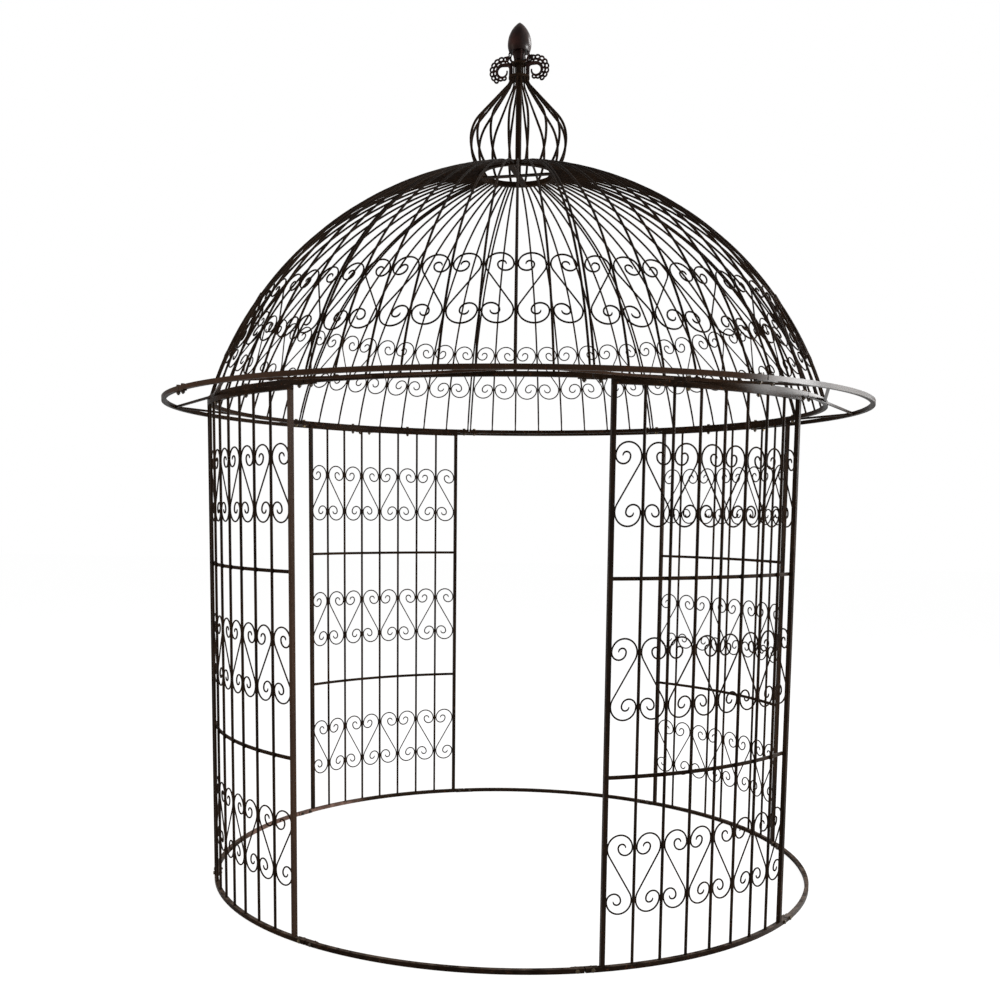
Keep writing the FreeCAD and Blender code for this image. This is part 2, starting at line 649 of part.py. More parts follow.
def brace(name, inner_angle, outer_angle):
    """Straight flat bar from a foot rail to the hoop, before its ends are fitted to both."""
    inner = turned(inner_angle).multVec(Vector(size("wall_radius"), 0, 0))
    outer = turned(outer_angle).multVec(Vector(size("brim_radius"), 0, 0))
    along = outer - inner
    bar = bound(doc.addObject("Part::Box", name), Width="Sizes.brace_width", Height="Sizes.brace_height")
    bar.Length = along.Length
    heading = math.degrees(math.atan2(along.y, along.x))
    rotation = FreeCAD.Rotation(UP, heading)
    level = size("wall_height") + (size("rail_side") - size("brace_height")) / 2
    corner = inner + rotation.multVec(Vector(0, -size("brace_width") / 2, 0)) + UP * level
    bar.Placement = FreeCAD.Placement(corner, rotation)
    return bar


brace_step = SECTION / 2
brace_bars = []
for outer_foot in (-brace_step, brace_step):
    for side in SIDES:
        outer_angle = outer_foot + size("brace_phase")
        brace_bars.append(brace("Brace", outer_angle + side * brace_step, outer_angle))
brim_annulus = arc_bar("BrimAnnulus", "Sizes.wall_radius + Sizes.rail_side / 2",
                       "Sizes.brim_radius - Sizes.rail_side / 2",
                       "Sizes.wall_height", "Sizes.rail_side", str(QUARTER))
fitted_braces = []
for bar in brace_bars:
    fitted = doc.addObject("Part::Common", "FittedBrace")
    fitted.Base = bar
    fitted.Tool = brim_annulus
    fitted_braces.append(fitted)
brim_quarter = group("BrimQuarter", [hoop, *fitted_braces])
for place, angle in DOORWAYS:
    instance(f"brim_{place}", brim_quarter, angle)

hoop_splice = under_splice("HoopSplice", "brim_radius", hoop_bolt)
hoop_joints = [angle for _, angle in PANELS]
repeated("brim_splice_plates", hoop_splice, [turned(joint) for joint in hoop_joints])


# Bolts

splice_bolt = bolt_master("SpliceBolt", "Sizes.rail_side + Sizes.splice_thickness")
wall_bolt = bolt_master("WallBolt", "2 * Sizes.rail_side")
splice_seats = [radial(joint + side * bolt_half) for joint in sill_joints for side in SIDES]
splice_seats += [standing(seam + side * bolt_half, size("wall_radius"), foot_top)
                 for seam in seams for side in SIDES]
splice_seats += [standing(joint + side * hoop_bolt, size("brim_radius"), foot_top)
                 for joint in hoop_joints for side in SIDES]
repeated("splice_bolts", splice_bolt, splice_seats)
repeated("wall_to_roof_bolts", wall_bolt,
         [turned(panel).multiply(seat) for _, panel in PANELS for seat in wall_bolt_seats])


# Crown: ring with its cross bars, onion cage, middle rod, neck, leaves and finial

CROWN_BOTTOM = "Sizes.crown_level - Sizes.crown_height / 2"
CROWN_INNER = "Sizes.crown_radius - Sizes.crown_width / 2"
ring_solid = bound(doc.addObject("Part::Cylinder", "CrownOuter"), Radius=CROWN_OUTER)
ring_core = bound(doc.addObject("Part::Cylinder", "CrownCore"), Radius=CROWN_INNER)
for obj in (ring_solid, ring_core):
    bound(obj, Height="Sizes.crown_height", **{"Placement.Base.z": CROWN_BOTTOM})
cross_bars = []
for name, long_side, short_side in (("CrossX", "Length", "Width"), ("CrossY", "Width", "Length")):
    bar = bound(doc.addObject("Part::Box", name), Height="Sizes.cross_thickness",
                **{long_side: "2 * Sizes.crown_radius", short_side: "Sizes.cross_width",
                   "Placement.Base.z": CROWN_BOTTOM})
    for axis, side in (("x", "Length"), ("y", "Width")):
        reach = "Sizes.crown_radius" if side == long_side else "Sizes.cross_width / 2"
        bar.setExpression(f"Placement.Base.{axis}", f"-({reach})")
    cross_bars.append(bar)
crown_ring = doc.addObject("Part::MultiFuse", "CrownRing")
crown_ring.Shapes = [cut("CrownHoop", ring_solid, ring_core), *cross_bars]
export(crown_ring, "crown_ring")


def in_plane(across, level):
    """Point of an upright plane through the axis."""
    return Vector(across, 0, level)


def arc_through(middle, radius, start, end):
    """Arc in an upright plane through the axis, from one angle to another."""
    points = []
    for angle in (start, (start + end) / 2, end):
        points.append(middle + in_plane(radius * math.cos(angle), radius * math.sin(angle)))
    return Part.Arc(*points).toShape()


def onion_cage():
    """Wires of the onion cage: they swell from the crown ring, then draw in to the neck."""
    wire = size("cage_wire")
    ring_top = size("crown_level") + size("crown_height") / 2
    waist = size("cage_waist_level")
    swell = size("cage_radius") - size("crown_radius")
    foot_bend = (swell ** 2 + (waist - ring_top) ** 2) / (2 * swell)
    shoulder_bend = size("cage_shoulder_bend")
    neck_bend = size("cage_neck_bend")
    foot_middle = in_plane(size("cage_radius") - foot_bend, waist)
    shoulder_middle = in_plane(size("cage_radius") - shoulder_bend, waist)
    neck_middle = in_plane(size("cage_neck_radius") + neck_bend, size("neck_level"))
    toward = neck_middle - shoulder_middle
    bow = math.atan2(toward.z, toward.x) - math.acos((shoulder_bend + neck_bend) / toward.Length)
    across = in_plane(math.cos(bow), math.sin(bow))
    slope_top = neck_middle - across * neck_bend
    slope_bottom = shoulder_middle + across * shoulder_bend
    foot_dip = -math.asin((waist - ring_top + wire) / foot_bend)
    path = Part.Wire([
        arc_through(neck_middle, neck_bend, math.pi, math.pi + bow),
        Part.LineSegment(slope_top, slope_bottom).toShape(),
        arc_through(shoulder_middle, shoulder_bend, bow, 0),
        arc_through(foot_middle, foot_bend, 0, foot_dip),
    ])
    neck = in_plane(size("cage_neck_radius"), size("neck_level"))
    tip = Part.Wire([Part.Circle(neck, UP, wire / 2).toShape()])
    solid = path.makePipeShell([tip], True, False)
    check_swept(solid, path, wire)
    below = Part.makeBox(size("cage_radius"), 2 * wire, 4 * wire, Vector(0, -wire, ring_top - 4 * wire))
    solid = solid.cut(below)
    return solids_of("OnionCage", [around(solid, k * 360.0 / CAGE_WIRES) for k in range(CAGE_WIRES)])


export(onion_cage(), "onion_cage_wires")

rod = bound(doc.addObject("Part::Cylinder", "MiddleRod"), Radius="Sizes.rod_diameter / 2",
            Height=f"Sizes.rod_top_level - ({CROWN_BOTTOM}) - Sizes.cross_thickness",
            **{"Placement.Base.z": CROWN_BOTTOM + " + Sizes.cross_thickness"})
export(rod, "middle_rod")


def rod_collar(name, radius, bottom, height):
    """Round plate with a hole for the middle rod."""
    disc = bound(doc.addObject("Part::Cylinder", name + "Disc"), Radius=radius)
    bore = bound(doc.addObject("Part::Cylinder", name + "Bore"),
                 Radius="Sizes.rod_diameter / 2 + Sizes.rod_clearance")
    for obj in (disc, bore):
        bound(obj, Height=height, **{"Placement.Base.z": bottom})
    return cut(name, disc, bore)


neck_collar = rod_collar("NeckCollar", "Sizes.collar_radius", "Sizes.neck_level", "Sizes.collar_height")
leaf_plate = rod_collar("LeafPlate", "Sizes.leaf_root - Sizes.leaf_wire / 2 - Sizes.weld_gap",
                        "Sizes.plate_level", "Sizes.plate_height")
export(group("NeckCollars", [neck_collar, leaf_plate]), "neck_collars")

COLLAR_TOP = "Sizes.neck_level + Sizes.collar_height"
neck_stem = bound(doc.addObject("Part::Cylinder", "NeckStem"), Radius="Sizes.stem_diameter / 2",
                  Height=f"Sizes.plate_level - ({COLLAR_TOP})",
                  **{"Placement.Base.x": "Sizes.stem_circle", "Placement.Base.z": COLLAR_TOP})
repeated("neck_stems", neck_stem, [turned((k + 0.5) * 360.0 / NECK_STEMS) for k in range(NECK_STEMS)])


def curled_leaves():
    """Leaves of bent wire that stand on the collar, arch outwards, drop and curl under."""
    wire = size("leaf_wire")
    root = size("leaf_root")
    reach = size("leaf_reach")
    arch = (reach - root) / 2
    level = size("leaf_level")
    low_level = level - size("leaf_drop")
    bottom = size("neck_level") + size("collar_height")
    over, outer = half_turns(root, level, [arch], True, 1)
    curls = [arch * size("leaf_second_turn"), arch * size("leaf_third_turn")]
    under, _ = half_turns(reach, low_level, curls, False, -1)
    rise = Part.LineSegment(Vector(root, bottom, 0), Vector(root, level, 0)).toShape()
    drop = Part.LineSegment(outer, Vector(reach, low_level, 0)).toShape()
    path = Part.Wire([rise, *over, drop, *under])
    tip = Part.Wire([Part.Circle(Vector(root, bottom, 0), Vector(0, 1, 0), wire / 2).toShape()])
    flat = path.makePipeShell([tip], True, False)
    check_swept(flat, path, wire)
    shapes = []
    for leaf in range(LEAVES):
        for strand in range(LEAF_WIRES):
            aside = (strand - (LEAF_WIRES - 1) / 2) * size("leaf_spacing")
            upright = hung(flat, Vector(1, 0, 0), UP, Vector(0, aside, 0))
            shapes.append(around(upright, leaf * 360.0 / LEAVES))
    return solids_of("CurledLeaves", shapes)


export(curled_leaves(), "curled_leaves")


def finial_profile(sketch):
    """Half outline of the finial: a stem, the flat underside of the bud, and two arcs up to the tip."""
    parts = ("stem_radius", "base_radius", "radius", "tip_radius")
    stem, base, waist, tip = (size("finial_" + part) for part in parts)
    foot_level, base_level = size("rod_top_level"), size("finial_base_level")
    waist_level, tip_level = size("finial_waist_level"), size("finial_top_level")
    corners = [Vector(0, foot_level, 0), Vector(stem, foot_level, 0), Vector(stem, base_level, 0),
               Vector(base, base_level, 0)]
    sides = [sketch.addGeometry(Part.LineSegment(corners[k], corners[k + 1]), False) for k in range(3)]
    for end, level in ((base, base_level), (tip, tip_level)):
        inset, rise = waist - end, level - waist_level
        bend = (inset ** 2 + rise ** 2) / (2 * inset)
        circle = Part.Circle(Vector(waist - bend, waist_level, 0), UP, bend)
        turn = math.atan2(rise, end - waist + bend)
        sides.append(sketch.addGeometry(Part.ArcOfCircle(circle, min(turn, 0), max(turn, 0)), False))
    cup, cap = sides[3:]
    top = Vector(0, tip_level, 0)
    for start, end in ((Vector(tip, tip_level, 0), top), (top, corners[0])):
        sides.append(sketch.addGeometry(Part.LineSegment(start, end), False))
    for k, side in enumerate(sides):
        sketch.addConstraint(Sketcher.Constraint("Coincident", side, 2, sides[(k + 1) % len(sides)], 1))
    for kind, side in (("Horizontal", 0), ("Vertical", 1), ("Horizontal", 2), ("Horizontal", 5)):
        sketch.addConstraint(Sketcher.Constraint(kind, sides[side]))
    for point in (1, 2):
        sketch.addConstraint(Sketcher.Constraint("PointOnObject", sides[6], point, -2))
    sketch.addConstraint(Sketcher.Constraint("Horizontal", cup, 3, cup, 2))
    sketch.addConstraint(Sketcher.Constraint("Horizontal", cap, 3, cap, 1))
    spans = [("DistanceX", sides[1], 1, stem, "finial_stem_radius"),
             ("DistanceX", cup, 1, base, "finial_base_radius"),
             ("DistanceX", cap, 1, waist, "finial_radius"),
             ("DistanceX", cap, 2, tip, "finial_tip_radius"),
             ("DistanceY", sides[0], 1, foot_level, "rod_top_level"),
             ("DistanceY", sides[2], 1, base_level, "finial_base_level"),
             ("DistanceY", cap, 1, waist_level, "finial_waist_level"),
             ("DistanceY", cap, 2, tip_level, "finial_top_level")]
    for kind, side, point, span, alias in spans:
        dimension(sketch, alias, Sketcher.Constraint(kind, -1, 1, side, point, span), "Sizes." + alias)


finial = doc.addObject("PartDesign::Body", "Finial")
finial_sketch = new_sketch(finial, "FinialProfile", "XZ_Plane")
finial_profile(finial_sketch)
bud = finial.newObject("PartDesign::Revolution", "FinialBud")
bud.Profile = finial_sketch
bud.ReferenceAxis = (finial_sketch, ["V_Axis"])
export(finial, "acorn_finial")


# Check every object, then write one file for each piece

doc.recompute()
for obj in doc.Objects:
    if "Invalid" in obj.State or "Error" in obj.State:
        raise RuntimeError(f"{obj.Label} did not recompute: {obj.State}")
for node in nodes:
    if node.Shape.isNull() or not node.Shape.isValid():
        raise RuntimeError(f"{node.Label} has no valid shape")
check_swept(first_rib.Shape, first_path.Shape, size("rib_diameter"))
os.makedirs("parts", exist_ok=True)
for node in nodes:
    node.Shape.exportStep(f"parts/{node.Label}.step")
    print(node.Label, len(node.Shape.Solids), "solids", round(node.Shape.Volume), "mm3")
print(len(nodes), "pieces")
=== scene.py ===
# %% [markdown]
# # A walk-in birdcage gazebo
# The gazebo is bolted together from bent and welded iron: four grille walls, eight roof sections, a brim
# and a crown. The solids come from the construction model and stay where they are. This lesson paints them
# and adds what a workshop leaves behind: bent scrolls, weld beads, plated bolts and a cast crown.

# %% Load the solids
import math
import random

import bmesh
import bpy
from mathutils import Matrix, Vector


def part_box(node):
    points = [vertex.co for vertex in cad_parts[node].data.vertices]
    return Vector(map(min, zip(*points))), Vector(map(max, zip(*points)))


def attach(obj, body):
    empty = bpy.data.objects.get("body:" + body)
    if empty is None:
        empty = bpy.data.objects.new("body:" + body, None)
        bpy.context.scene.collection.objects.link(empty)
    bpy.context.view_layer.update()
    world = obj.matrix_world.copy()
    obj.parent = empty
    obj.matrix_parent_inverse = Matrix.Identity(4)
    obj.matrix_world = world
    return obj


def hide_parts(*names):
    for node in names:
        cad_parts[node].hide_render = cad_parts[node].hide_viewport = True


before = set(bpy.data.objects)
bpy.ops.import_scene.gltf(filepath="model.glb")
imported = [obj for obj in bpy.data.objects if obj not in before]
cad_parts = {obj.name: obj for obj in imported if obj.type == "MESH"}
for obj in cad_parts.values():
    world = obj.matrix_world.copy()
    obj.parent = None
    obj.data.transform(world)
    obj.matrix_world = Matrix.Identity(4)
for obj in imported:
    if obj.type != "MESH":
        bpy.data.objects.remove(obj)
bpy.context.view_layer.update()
scene = bpy.context.scene
UP = Vector((0, 0, 1))

# %% [markdown]
# ## Sizes
# Radii and levels are read from the solids, so that every added piece sits on what carries it. Wire and bar
# thicknesses and the rule of the scrolls repeat the construction model's values. All lengths are in metres.

# %% Sizes
sill_low, sill_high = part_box("sill_front")
rail_side = sill_high.z
wall_radius = -sill_low.y - rail_side / 2
wall_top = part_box("wall_front_right_rails")[1].z
foot_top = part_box("roof_front_foot_rail")[1].z
brim_radius = -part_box("brim_front")[0].y - rail_side / 2
crown_low, crown_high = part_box("crown_ring")
neck_low, neck_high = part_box("neck_collars")
stem_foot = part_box("neck_stems")[0].z

PANELS = {"front_right": -45, "rear_right": 45, "rear_left": 135, "front_left": -135}
DOORWAYS = {"front": -90, "right": 0, "rear": 90, "left": 180}
PANEL_ANGLE = 38.5
WALL_BARS = 7
UPRIGHT_SIDE = 0.015
BAR = 0.010
WIRE = 0.005
TOUCH = 0.0002
ROOF_SECTION = 45.0
ROOF_BAYS = 8
RIB = 0.008
RIB_BEND = 1.325
SEAM_OFFSET = 0.007
CROWN_WIDTH = 0.016
MID_RAIL_LEVELS = (0.634, 1.269)
MID_RAIL_HEIGHT = 0.012
MID_RAIL_DEPTH = 0.006
CAGE_WIRES = 16
CAGE_WIRE = 0.010
CAGE_NECK = 0.036
CAGE_NECK_SHARE = 0.68

rib_pitch = ROOF_SECTION / ROOF_BAYS
crown_radius = crown_high.x - CROWN_WIDTH / 2
clear_width = (math.radians(PANEL_ANGLE) * wall_radius - UPRIGHT_SIDE - WALL_BARS * BAR) / (WALL_BARS + 1)
bar_pitch = math.degrees((clear_width + BAR) / wall_radius)
print(f"wall radius {wall_radius:.3f}, brim radius {brim_radius:.3f}, bar spacing {bar_pitch:.2f} degrees")

# %% [markdown]
# ## Camera
# The photograph was taken from eye height, a little right of the front doorway, looking slightly down. The
# lens and the two shifts keep the uprights as steep as they look there.

# %% Camera
CAMERA_PLACE = Vector((0.9374, -4.6570, 1.4639))
CAMERA_HEADING = math.radians(13.086)
CAMERA_DIP = math.radians(5.998)
CAMERA_ROLL = math.radians(0.531)
LENS = 41.08
SENSOR = 36.0
SHIFT_ASIDE, SHIFT_UP = 0.0215, 0.1348
FARTHEST_SEEN = 200.0

ahead = Vector((-math.sin(CAMERA_HEADING), math.cos(CAMERA_HEADING), -math.tan(CAMERA_DIP))).normalized()
right = ahead.cross(UP).normalized()
above = right.cross(ahead)
camera = bpy.data.objects.new("camera", bpy.data.cameras.new("camera"))
camera.data.lens = LENS
camera.data.sensor_width = SENSOR
camera.data.shift_x = SHIFT_ASIDE
camera.data.shift_y = SHIFT_UP
camera.data.clip_end = FARTHEST_SEEN
axes = Matrix((right, above, -ahead)).transposed() @ Matrix.Rotation(CAMERA_ROLL, 3, "Z")
camera.matrix_world = Matrix.Translation(CAMERA_PLACE) @ axes.to_4x4()
scene.collection.objects.link(camera)
scene.camera = camera
print("camera at", [round(v, 3) for v in CAMERA_PLACE])

# %% [markdown]
# ## Shader arithmetic
# A finish is a sum of simple things: blotches, specks, streaks, worn edges. Written as nodes, every sum is a
# box with two wires. The small class below wraps one output of a tree, so that a finish reads as a formula.

# %% Shader arithmetic
def add_node(tree, kind, settings=None, sockets=None):
    """Add a node: its settings are set first, then the values or links of its sockets."""
    node = tree.nodes.new(kind)
    for name, setting in (settings or {}).items():
        setattr(node, name, setting)
    for name, value in (sockets or {}).items():
        if isinstance(value, Amount):
            value = value.socket
        if isinstance(value, bpy.types.NodeSocket):
            tree.links.new(value, node.inputs[name])
        else:
            node.inputs[name].default_value = value
    return node


class Amount:
    """An amount that changes over a surface. Arithmetic on it adds Math nodes."""

    def __init__(self, tree, socket):
        self.tree = tree
        self.socket = socket

    def node(self, kind, settings=None, sockets=None, output=0):
        return Amount(self.tree, add_node(self.tree, kind, settings, sockets).outputs[output])

    def math(self, operation, first, second):
        return self.node("ShaderNodeMath", {"operation": operation}, {0: first, 1: second})

    def __add__(self, other):
        return self.math("ADD", self, other)

    def __sub__(self, other):
        return self.math("SUBTRACT", self, other)

    def __rsub__(self, other):
        return self.math("SUBTRACT", other, self)

    def __mul__(self, other):
        return self.math("MULTIPLY", self, other)

    __radd__ = __add__
    __rmul__ = __mul__

    def rising(self, low, high):
        """0 below low, 1 above high, smooth between."""
        return self.node("ShaderNodeMapRange", {"interpolation_type": "SMOOTHSTEP"},
                         {"Value": self, "From Min": low, "From Max": high})

    def mix(self, first, second):
        """The first colour where this amount is 0, the second where it is 1."""
        return self.node("ShaderNodeMix", {"data_type": "RGBA"}, {0: self, 6: first, 7: second}, output=2)


print("an amount offers:", [name for name in vars(Amount) if not name.startswith("_")])

# %% [markdown]
# ## A new finish
# Every finish starts as a material with one shader and the place on the piece in Object coordinates. A
# pattern then runs on from piece to piece and stays where it is in every view.

# %% A new finish
def colour(red, green, blue):
    """A colour as a shader takes it."""
    return (red, green, blue, 1.0)


def new_finish(name, gloss=0.5):
    """A material with its shader and the Object coordinates of the piece that it is on."""
    material = bpy.data.materials.new(name)
    material.use_nodes = True
    tree = material.node_tree
    shader = tree.nodes["Principled BSDF"]
    shader.inputs["Specular IOR Level"].default_value = gloss
    return material, shader, Amount(tree, add_node(tree, "ShaderNodeTexCoord").outputs["Object"])


def feed(shader, **amounts):
    """Link amounts to the shader's sockets, named with underscores for spaces."""
    for name, amount in amounts.items():
        amount.tree.links.new(amount.socket, shader.inputs[name.replace("_", " ")])


def bump(height, strength, depth):
    """Normal of a surface that an amount raises."""
    return height.node("ShaderNodeBump", None, {"Strength": strength, "Distance": depth, "Height": height})


WHITE = colour(1.0, 1.0, 1.0)
print("white as a shader takes it:", WHITE)

# %% [markdown]
# ## Paint colours
# The iron is painted a brown so dark that it looks black against the sky. Fresh paint lies between two
# browns, and other colours show where it has rusted, worn or caught dust. A lighter brown is painted light,
# where more light falls. The gloss is very low: the paint only shines where light glances off it.

# %% Paint colours
NIGHT_BROWN = colour(0.0065, 0.0042, 0.0030)
WARM_BROWN = colour(0.0188, 0.0108, 0.0063)
# painted light: a lighter brown where more light falls, on the front of the brim and the left door post
LIT_BROWN = colour(0.0450, 0.0256, 0.0169)
RUST = colour(0.0525, 0.0212, 0.0094)
WORN_IRON = colour(0.0650, 0.0538, 0.0462)
PALE_DUST = colour(0.1310, 0.1000, 0.0800)
RUBBED_RUST = colour(0.1500, 0.0920, 0.0740)
SATIN = 0.015
MATT = 0.003
VARNISH = 0.28
COAT_ROUGHNESS = 0.24
print("darkest and lightest paint:", NIGHT_BROWN[:3], LIT_BROWN[:3])

# %% [markdown]
# ## Marks on the paint
# The paint is brushed on by hand: it has broad cloudy blotches, thin runs along the bars and specks of rust,
# and it wears off along sharp edges. Noise gives the first three, at so many marks a metre. A bevelled normal
# differs from the plain one only near an edge, so it finds the edges without extra geometry.

# %% Marks on the paint
BLOTCHES = 5.0
BRUSH_MARKS = 180.0
RUST_SPECKS = 95.0
PAINT_GRAIN = 900.0
SETTLED_DUST = 30.0
WORN_SPOTS = 55.0
EDGE = 0.0016


def noise(place, scale, detail=3.0, stretch=(1.0, 1.0, 1.0)):
    """Cloudy amount between 0 and 1, drawn out along the axes with a small stretch value."""
    moved = place.node("ShaderNodeMapping", None, {"Vector": place, "Scale": stretch})
    return place.node("ShaderNodeTexNoise", None, {"Vector": moved, "Scale": scale, "Detail": detail})


def edges(place, radius):
    """1 along sharp edges, 0 on flat and round faces."""
    soft = place.node("ShaderNodeBevel", {"samples": 4}, {"Radius": radius})
    plain = place.node("ShaderNodeNewGeometry", output="Normal")
    match = place.node("ShaderNodeVectorMath", {"operation": "DOT_PRODUCT"}, {0: soft, 1: plain},
                       output="Value")
    return (1 - match).rising(0.02, 0.22)


print("a blotch is about", 1 / BLOTCHES, "m wide")

# %% [markdown]
# ## Weather and painted light
# On the front of the brim and on the left door post the paint is a lighter brown: painted light, where more
# light falls. On the left rear, where the base ring lies damp, rust comes through. The rails have gone matt,
# and only on the front right, away from the weather, a coat of varnish is left and catches the light. The X,
# Y and Z of a place tell its side.

# %% Weather and painted light
FRONT = (-1.20, -0.75)
LEFT_TO_RIGHT = (-0.30, 0.30)
LEFT_END, REAR_HALF = (-0.99, -0.90), (-0.05, 0.15)
RIGHT_SIDE, RIGHT_END = (0.88, 1.12), (1.20, 1.34)
FRONT_HALF = (-0.45, 0.05)
GROUND = (0.004, 0.040)


def along(place, axis):
    """The X, Y or Z of a place or of a direction."""
    return place.node("ShaderNodeSeparateXYZ", None, {0: place}, output=axis)


def in_front(place):
    """1 on the front of the gazebo, 0 on its sides and rear."""
    return 1 - along(place, "Y").rising(*FRONT)


def front_left(place):
    """1 on the front left of the gazebo."""
    return in_front(place) * (1 - along(place, "X").rising(*LEFT_TO_RIGHT))


def left_rear(place):
    """1 on the left rear of the gazebo."""
    return (1 - along(place, "X").rising(*LEFT_END)) * along(place, "Y").rising(*REAR_HALF)


def right_front(place):
    """1 on the front right of the gazebo, less at the far right end of the brim."""
    across = along(place, "X")
    on_the_right = across.rising(*RIGHT_SIDE) * (1 - across.rising(*RIGHT_END) * 0.8)
    return on_the_right * (1 - along(place, "Y").rising(*FRONT_HALF))


print("damp up to", GROUND[1], "m above the ground")

# %% [markdown]
# ## Iron paint
# Bars, rails and ribs share one recipe, laid on in this order: brushed skin, a lighter brown as painted
# light, rust, dust, worn edges, varnish. Brush marks, grain and rust also stand out, so they make the bump.

# %% Iron paint
def iron_paint(name, runs, rust_share, edge_radius=0.0, dusty=False, lit_share=0.0, where=in_front, rough=0.25,
               satin=SATIN, varnish=0.0):
    """Dark brown brushed paint. The runs stretch the brush marks along the piece."""
    material, shader, place = new_finish(name, satin)
    clouds = noise(place, BLOTCHES, 5.0).rising(0.35, 0.70)
    brushed = noise(place, BRUSH_MARKS, 4.0, runs)
    specks = noise(place, RUST_SPECKS, 6.0).rising(0.66 - 0.10 * rust_share, 0.74) * rust_share
    grain = noise(place, PAINT_GRAIN, 2.0)
    skin = (clouds * 0.6 + brushed.rising(0.4, 0.7) * 0.4).mix(NIGHT_BROWN, WARM_BROWN)
    # painted light: the skin turns a lighter brown where more light falls, on the side picked by where
    if lit_share:
        skin = ((lit_share + clouds * 0.2) * where(place)).mix(skin, LIT_BROWN)
    skin = specks.mix(skin, RUST)
    gloss = rough + brushed * 0.16 + specks * 0.25
    if dusty:
        facing = place.node("ShaderNodeTexCoord", output="Normal")
        upward = along(facing, "Z").rising(0.5, 1.0)
        near_ground = 1 - along(place, "Z").rising(*GROUND)
        settled = noise(place, SETTLED_DUST, 6.0).rising(0.30, 0.75)
        dust = settled * (upward * 0.35 + near_ground * 0.04 + upward * near_ground * 0.35)
        skin = dust.mix(skin, PALE_DUST)
        damp = near_ground * left_rear(place) * (0.45 + settled * 0.55)
        skin = damp.mix(skin, RUBBED_RUST)
        gloss = gloss + dust * 0.3
    if edge_radius:
        worn = edges(place, edge_radius) * noise(place, WORN_SPOTS, 5.0).rising(0.40, 0.62)
        skin = worn.mix(skin, WORN_IRON)
        gloss = gloss - worn * 0.12
    if varnish:
        shader.inputs["Coat Roughness"].default_value = COAT_ROUGHNESS
        feed(shader, Coat_Weight=right_front(place) * varnish)
    relief = brushed * 0.6 + grain * 0.4 + specks * 0.8
    feed(shader, Base_Color=skin, Roughness=gloss, Normal=bump(relief, 0.35, 0.0006))
    return material


UPRIGHT_RUNS = (1.0, 1.0, 0.06)
LEVEL_RUNS = (0.35, 0.35, 1.0)
ROUND_RUNS = (1.0, 1.0, 0.25)
RAIL = {"edge_radius": EDGE, "dusty": True, "satin": MATT, "varnish": VARNISH}
rail_paint = iron_paint("rail_paint", LEVEL_RUNS, 0.8, **RAIL)
# painted light: the uprights are painted lighter on the front left, the brim on the front
upright_paint = iron_paint("upright_paint", UPRIGHT_RUNS, 0.6, edge_radius=EDGE, lit_share=0.5, where=front_left)
bar_paint = iron_paint("bar_paint", UPRIGHT_RUNS, 0.45)
brim_paint = iron_paint("brim_paint", LEVEL_RUNS, 0.8, lit_share=0.45, **RAIL)
rib_paint = iron_paint("rib_paint", ROUND_RUNS, 0.5, rough=0.45)
scroll_paint = iron_paint("scroll_paint", ROUND_RUNS, 0.35, satin=MATT)
paints = (rail_paint, upright_paint, bar_paint, brim_paint, rib_paint, scroll_paint)
print("paints:", [paint.name for paint in paints])

# %% [markdown]
# ## Weld metal
# The weld beads are painted over, but rougher than the bars and a little sooty. Fine ripples in the bump
# stand for the small waves that a weld leaves as it cools.

# %% Weld metal
def weld_finish():
    """Painted weld metal: fine ripples and soot."""
    material, shader, place = new_finish("weld_metal", SATIN)
    soot = noise(place, 240.0, 4.0)
    ripple = noise(place, 1100.0, 2.0)
    feed(shader, Base_Color=soot.rising(0.35, 0.7).mix(NIGHT_BROWN, WARM_BROWN), Roughness=0.45 + soot * 0.3,
         Normal=bump(ripple, 0.5, 0.0005))
    return material


weld_metal = weld_finish()
print("finish:", weld_metal.name)

# %% [markdown]
# ## Plating
# The bolts are yellow plated steel. Most have tarnished and all are dirty, so only a few still show their
# colour. A very broad noise decides from bolt to bolt, fine ones make the patches on each.

# %% Plating
BRIGHT_YELLOW = colour(0.13, 0.092, 0.036)
DULL_YELLOW = colour(0.065, 0.050, 0.028)
TARNISHED = colour(0.022, 0.015, 0.008)
BROWN_DIRT = colour(0.0175, 0.0112, 0.0075)


def plating_finish():
    """Yellow plated steel with dull patches, tarnish and brown dirt."""
    material, shader, place = new_finish("yellow_plating")
    patches = noise(place, 160.0, 5.0)
    dirt = noise(place, 300.0, 4.0).rising(0.40, 0.62)
    metal = patches.rising(0.35, 0.65).mix(BRIGHT_YELLOW, DULL_YELLOW)
    metal = noise(place, 3.0, 2.0).rising(0.36, 0.52).mix(metal, TARNISHED)
    feed(shader, Base_Color=(dirt * 0.85).mix(metal, BROWN_DIRT), Metallic=1 - dirt * 0.8,
         Roughness=0.32 + patches * 0.2 + dirt * 0.2, Normal=bump(patches, 0.2, 0.0003))
    return material


yellow_plating = plating_finish()
print("finish:", yellow_plating.name)

# %% [markdown]
# ## Casting
# The finial is cast in sand, and the leaves are painted to match it: a warmer brown than the bars, with the
# grain of the sand. On the right of the finial some varnish is left, which gives it its light spot.

# %% Casting
DARK_CASTING = colour(0.0085, 0.0038, 0.0031)
RUBBED_CASTING = colour(0.0260, 0.0112, 0.0092)
CASTING_SATIN = 0.05
FINIAL_RIGHT, FINIAL_LEVELS = (0.006, 0.030), (3.280, 3.300)


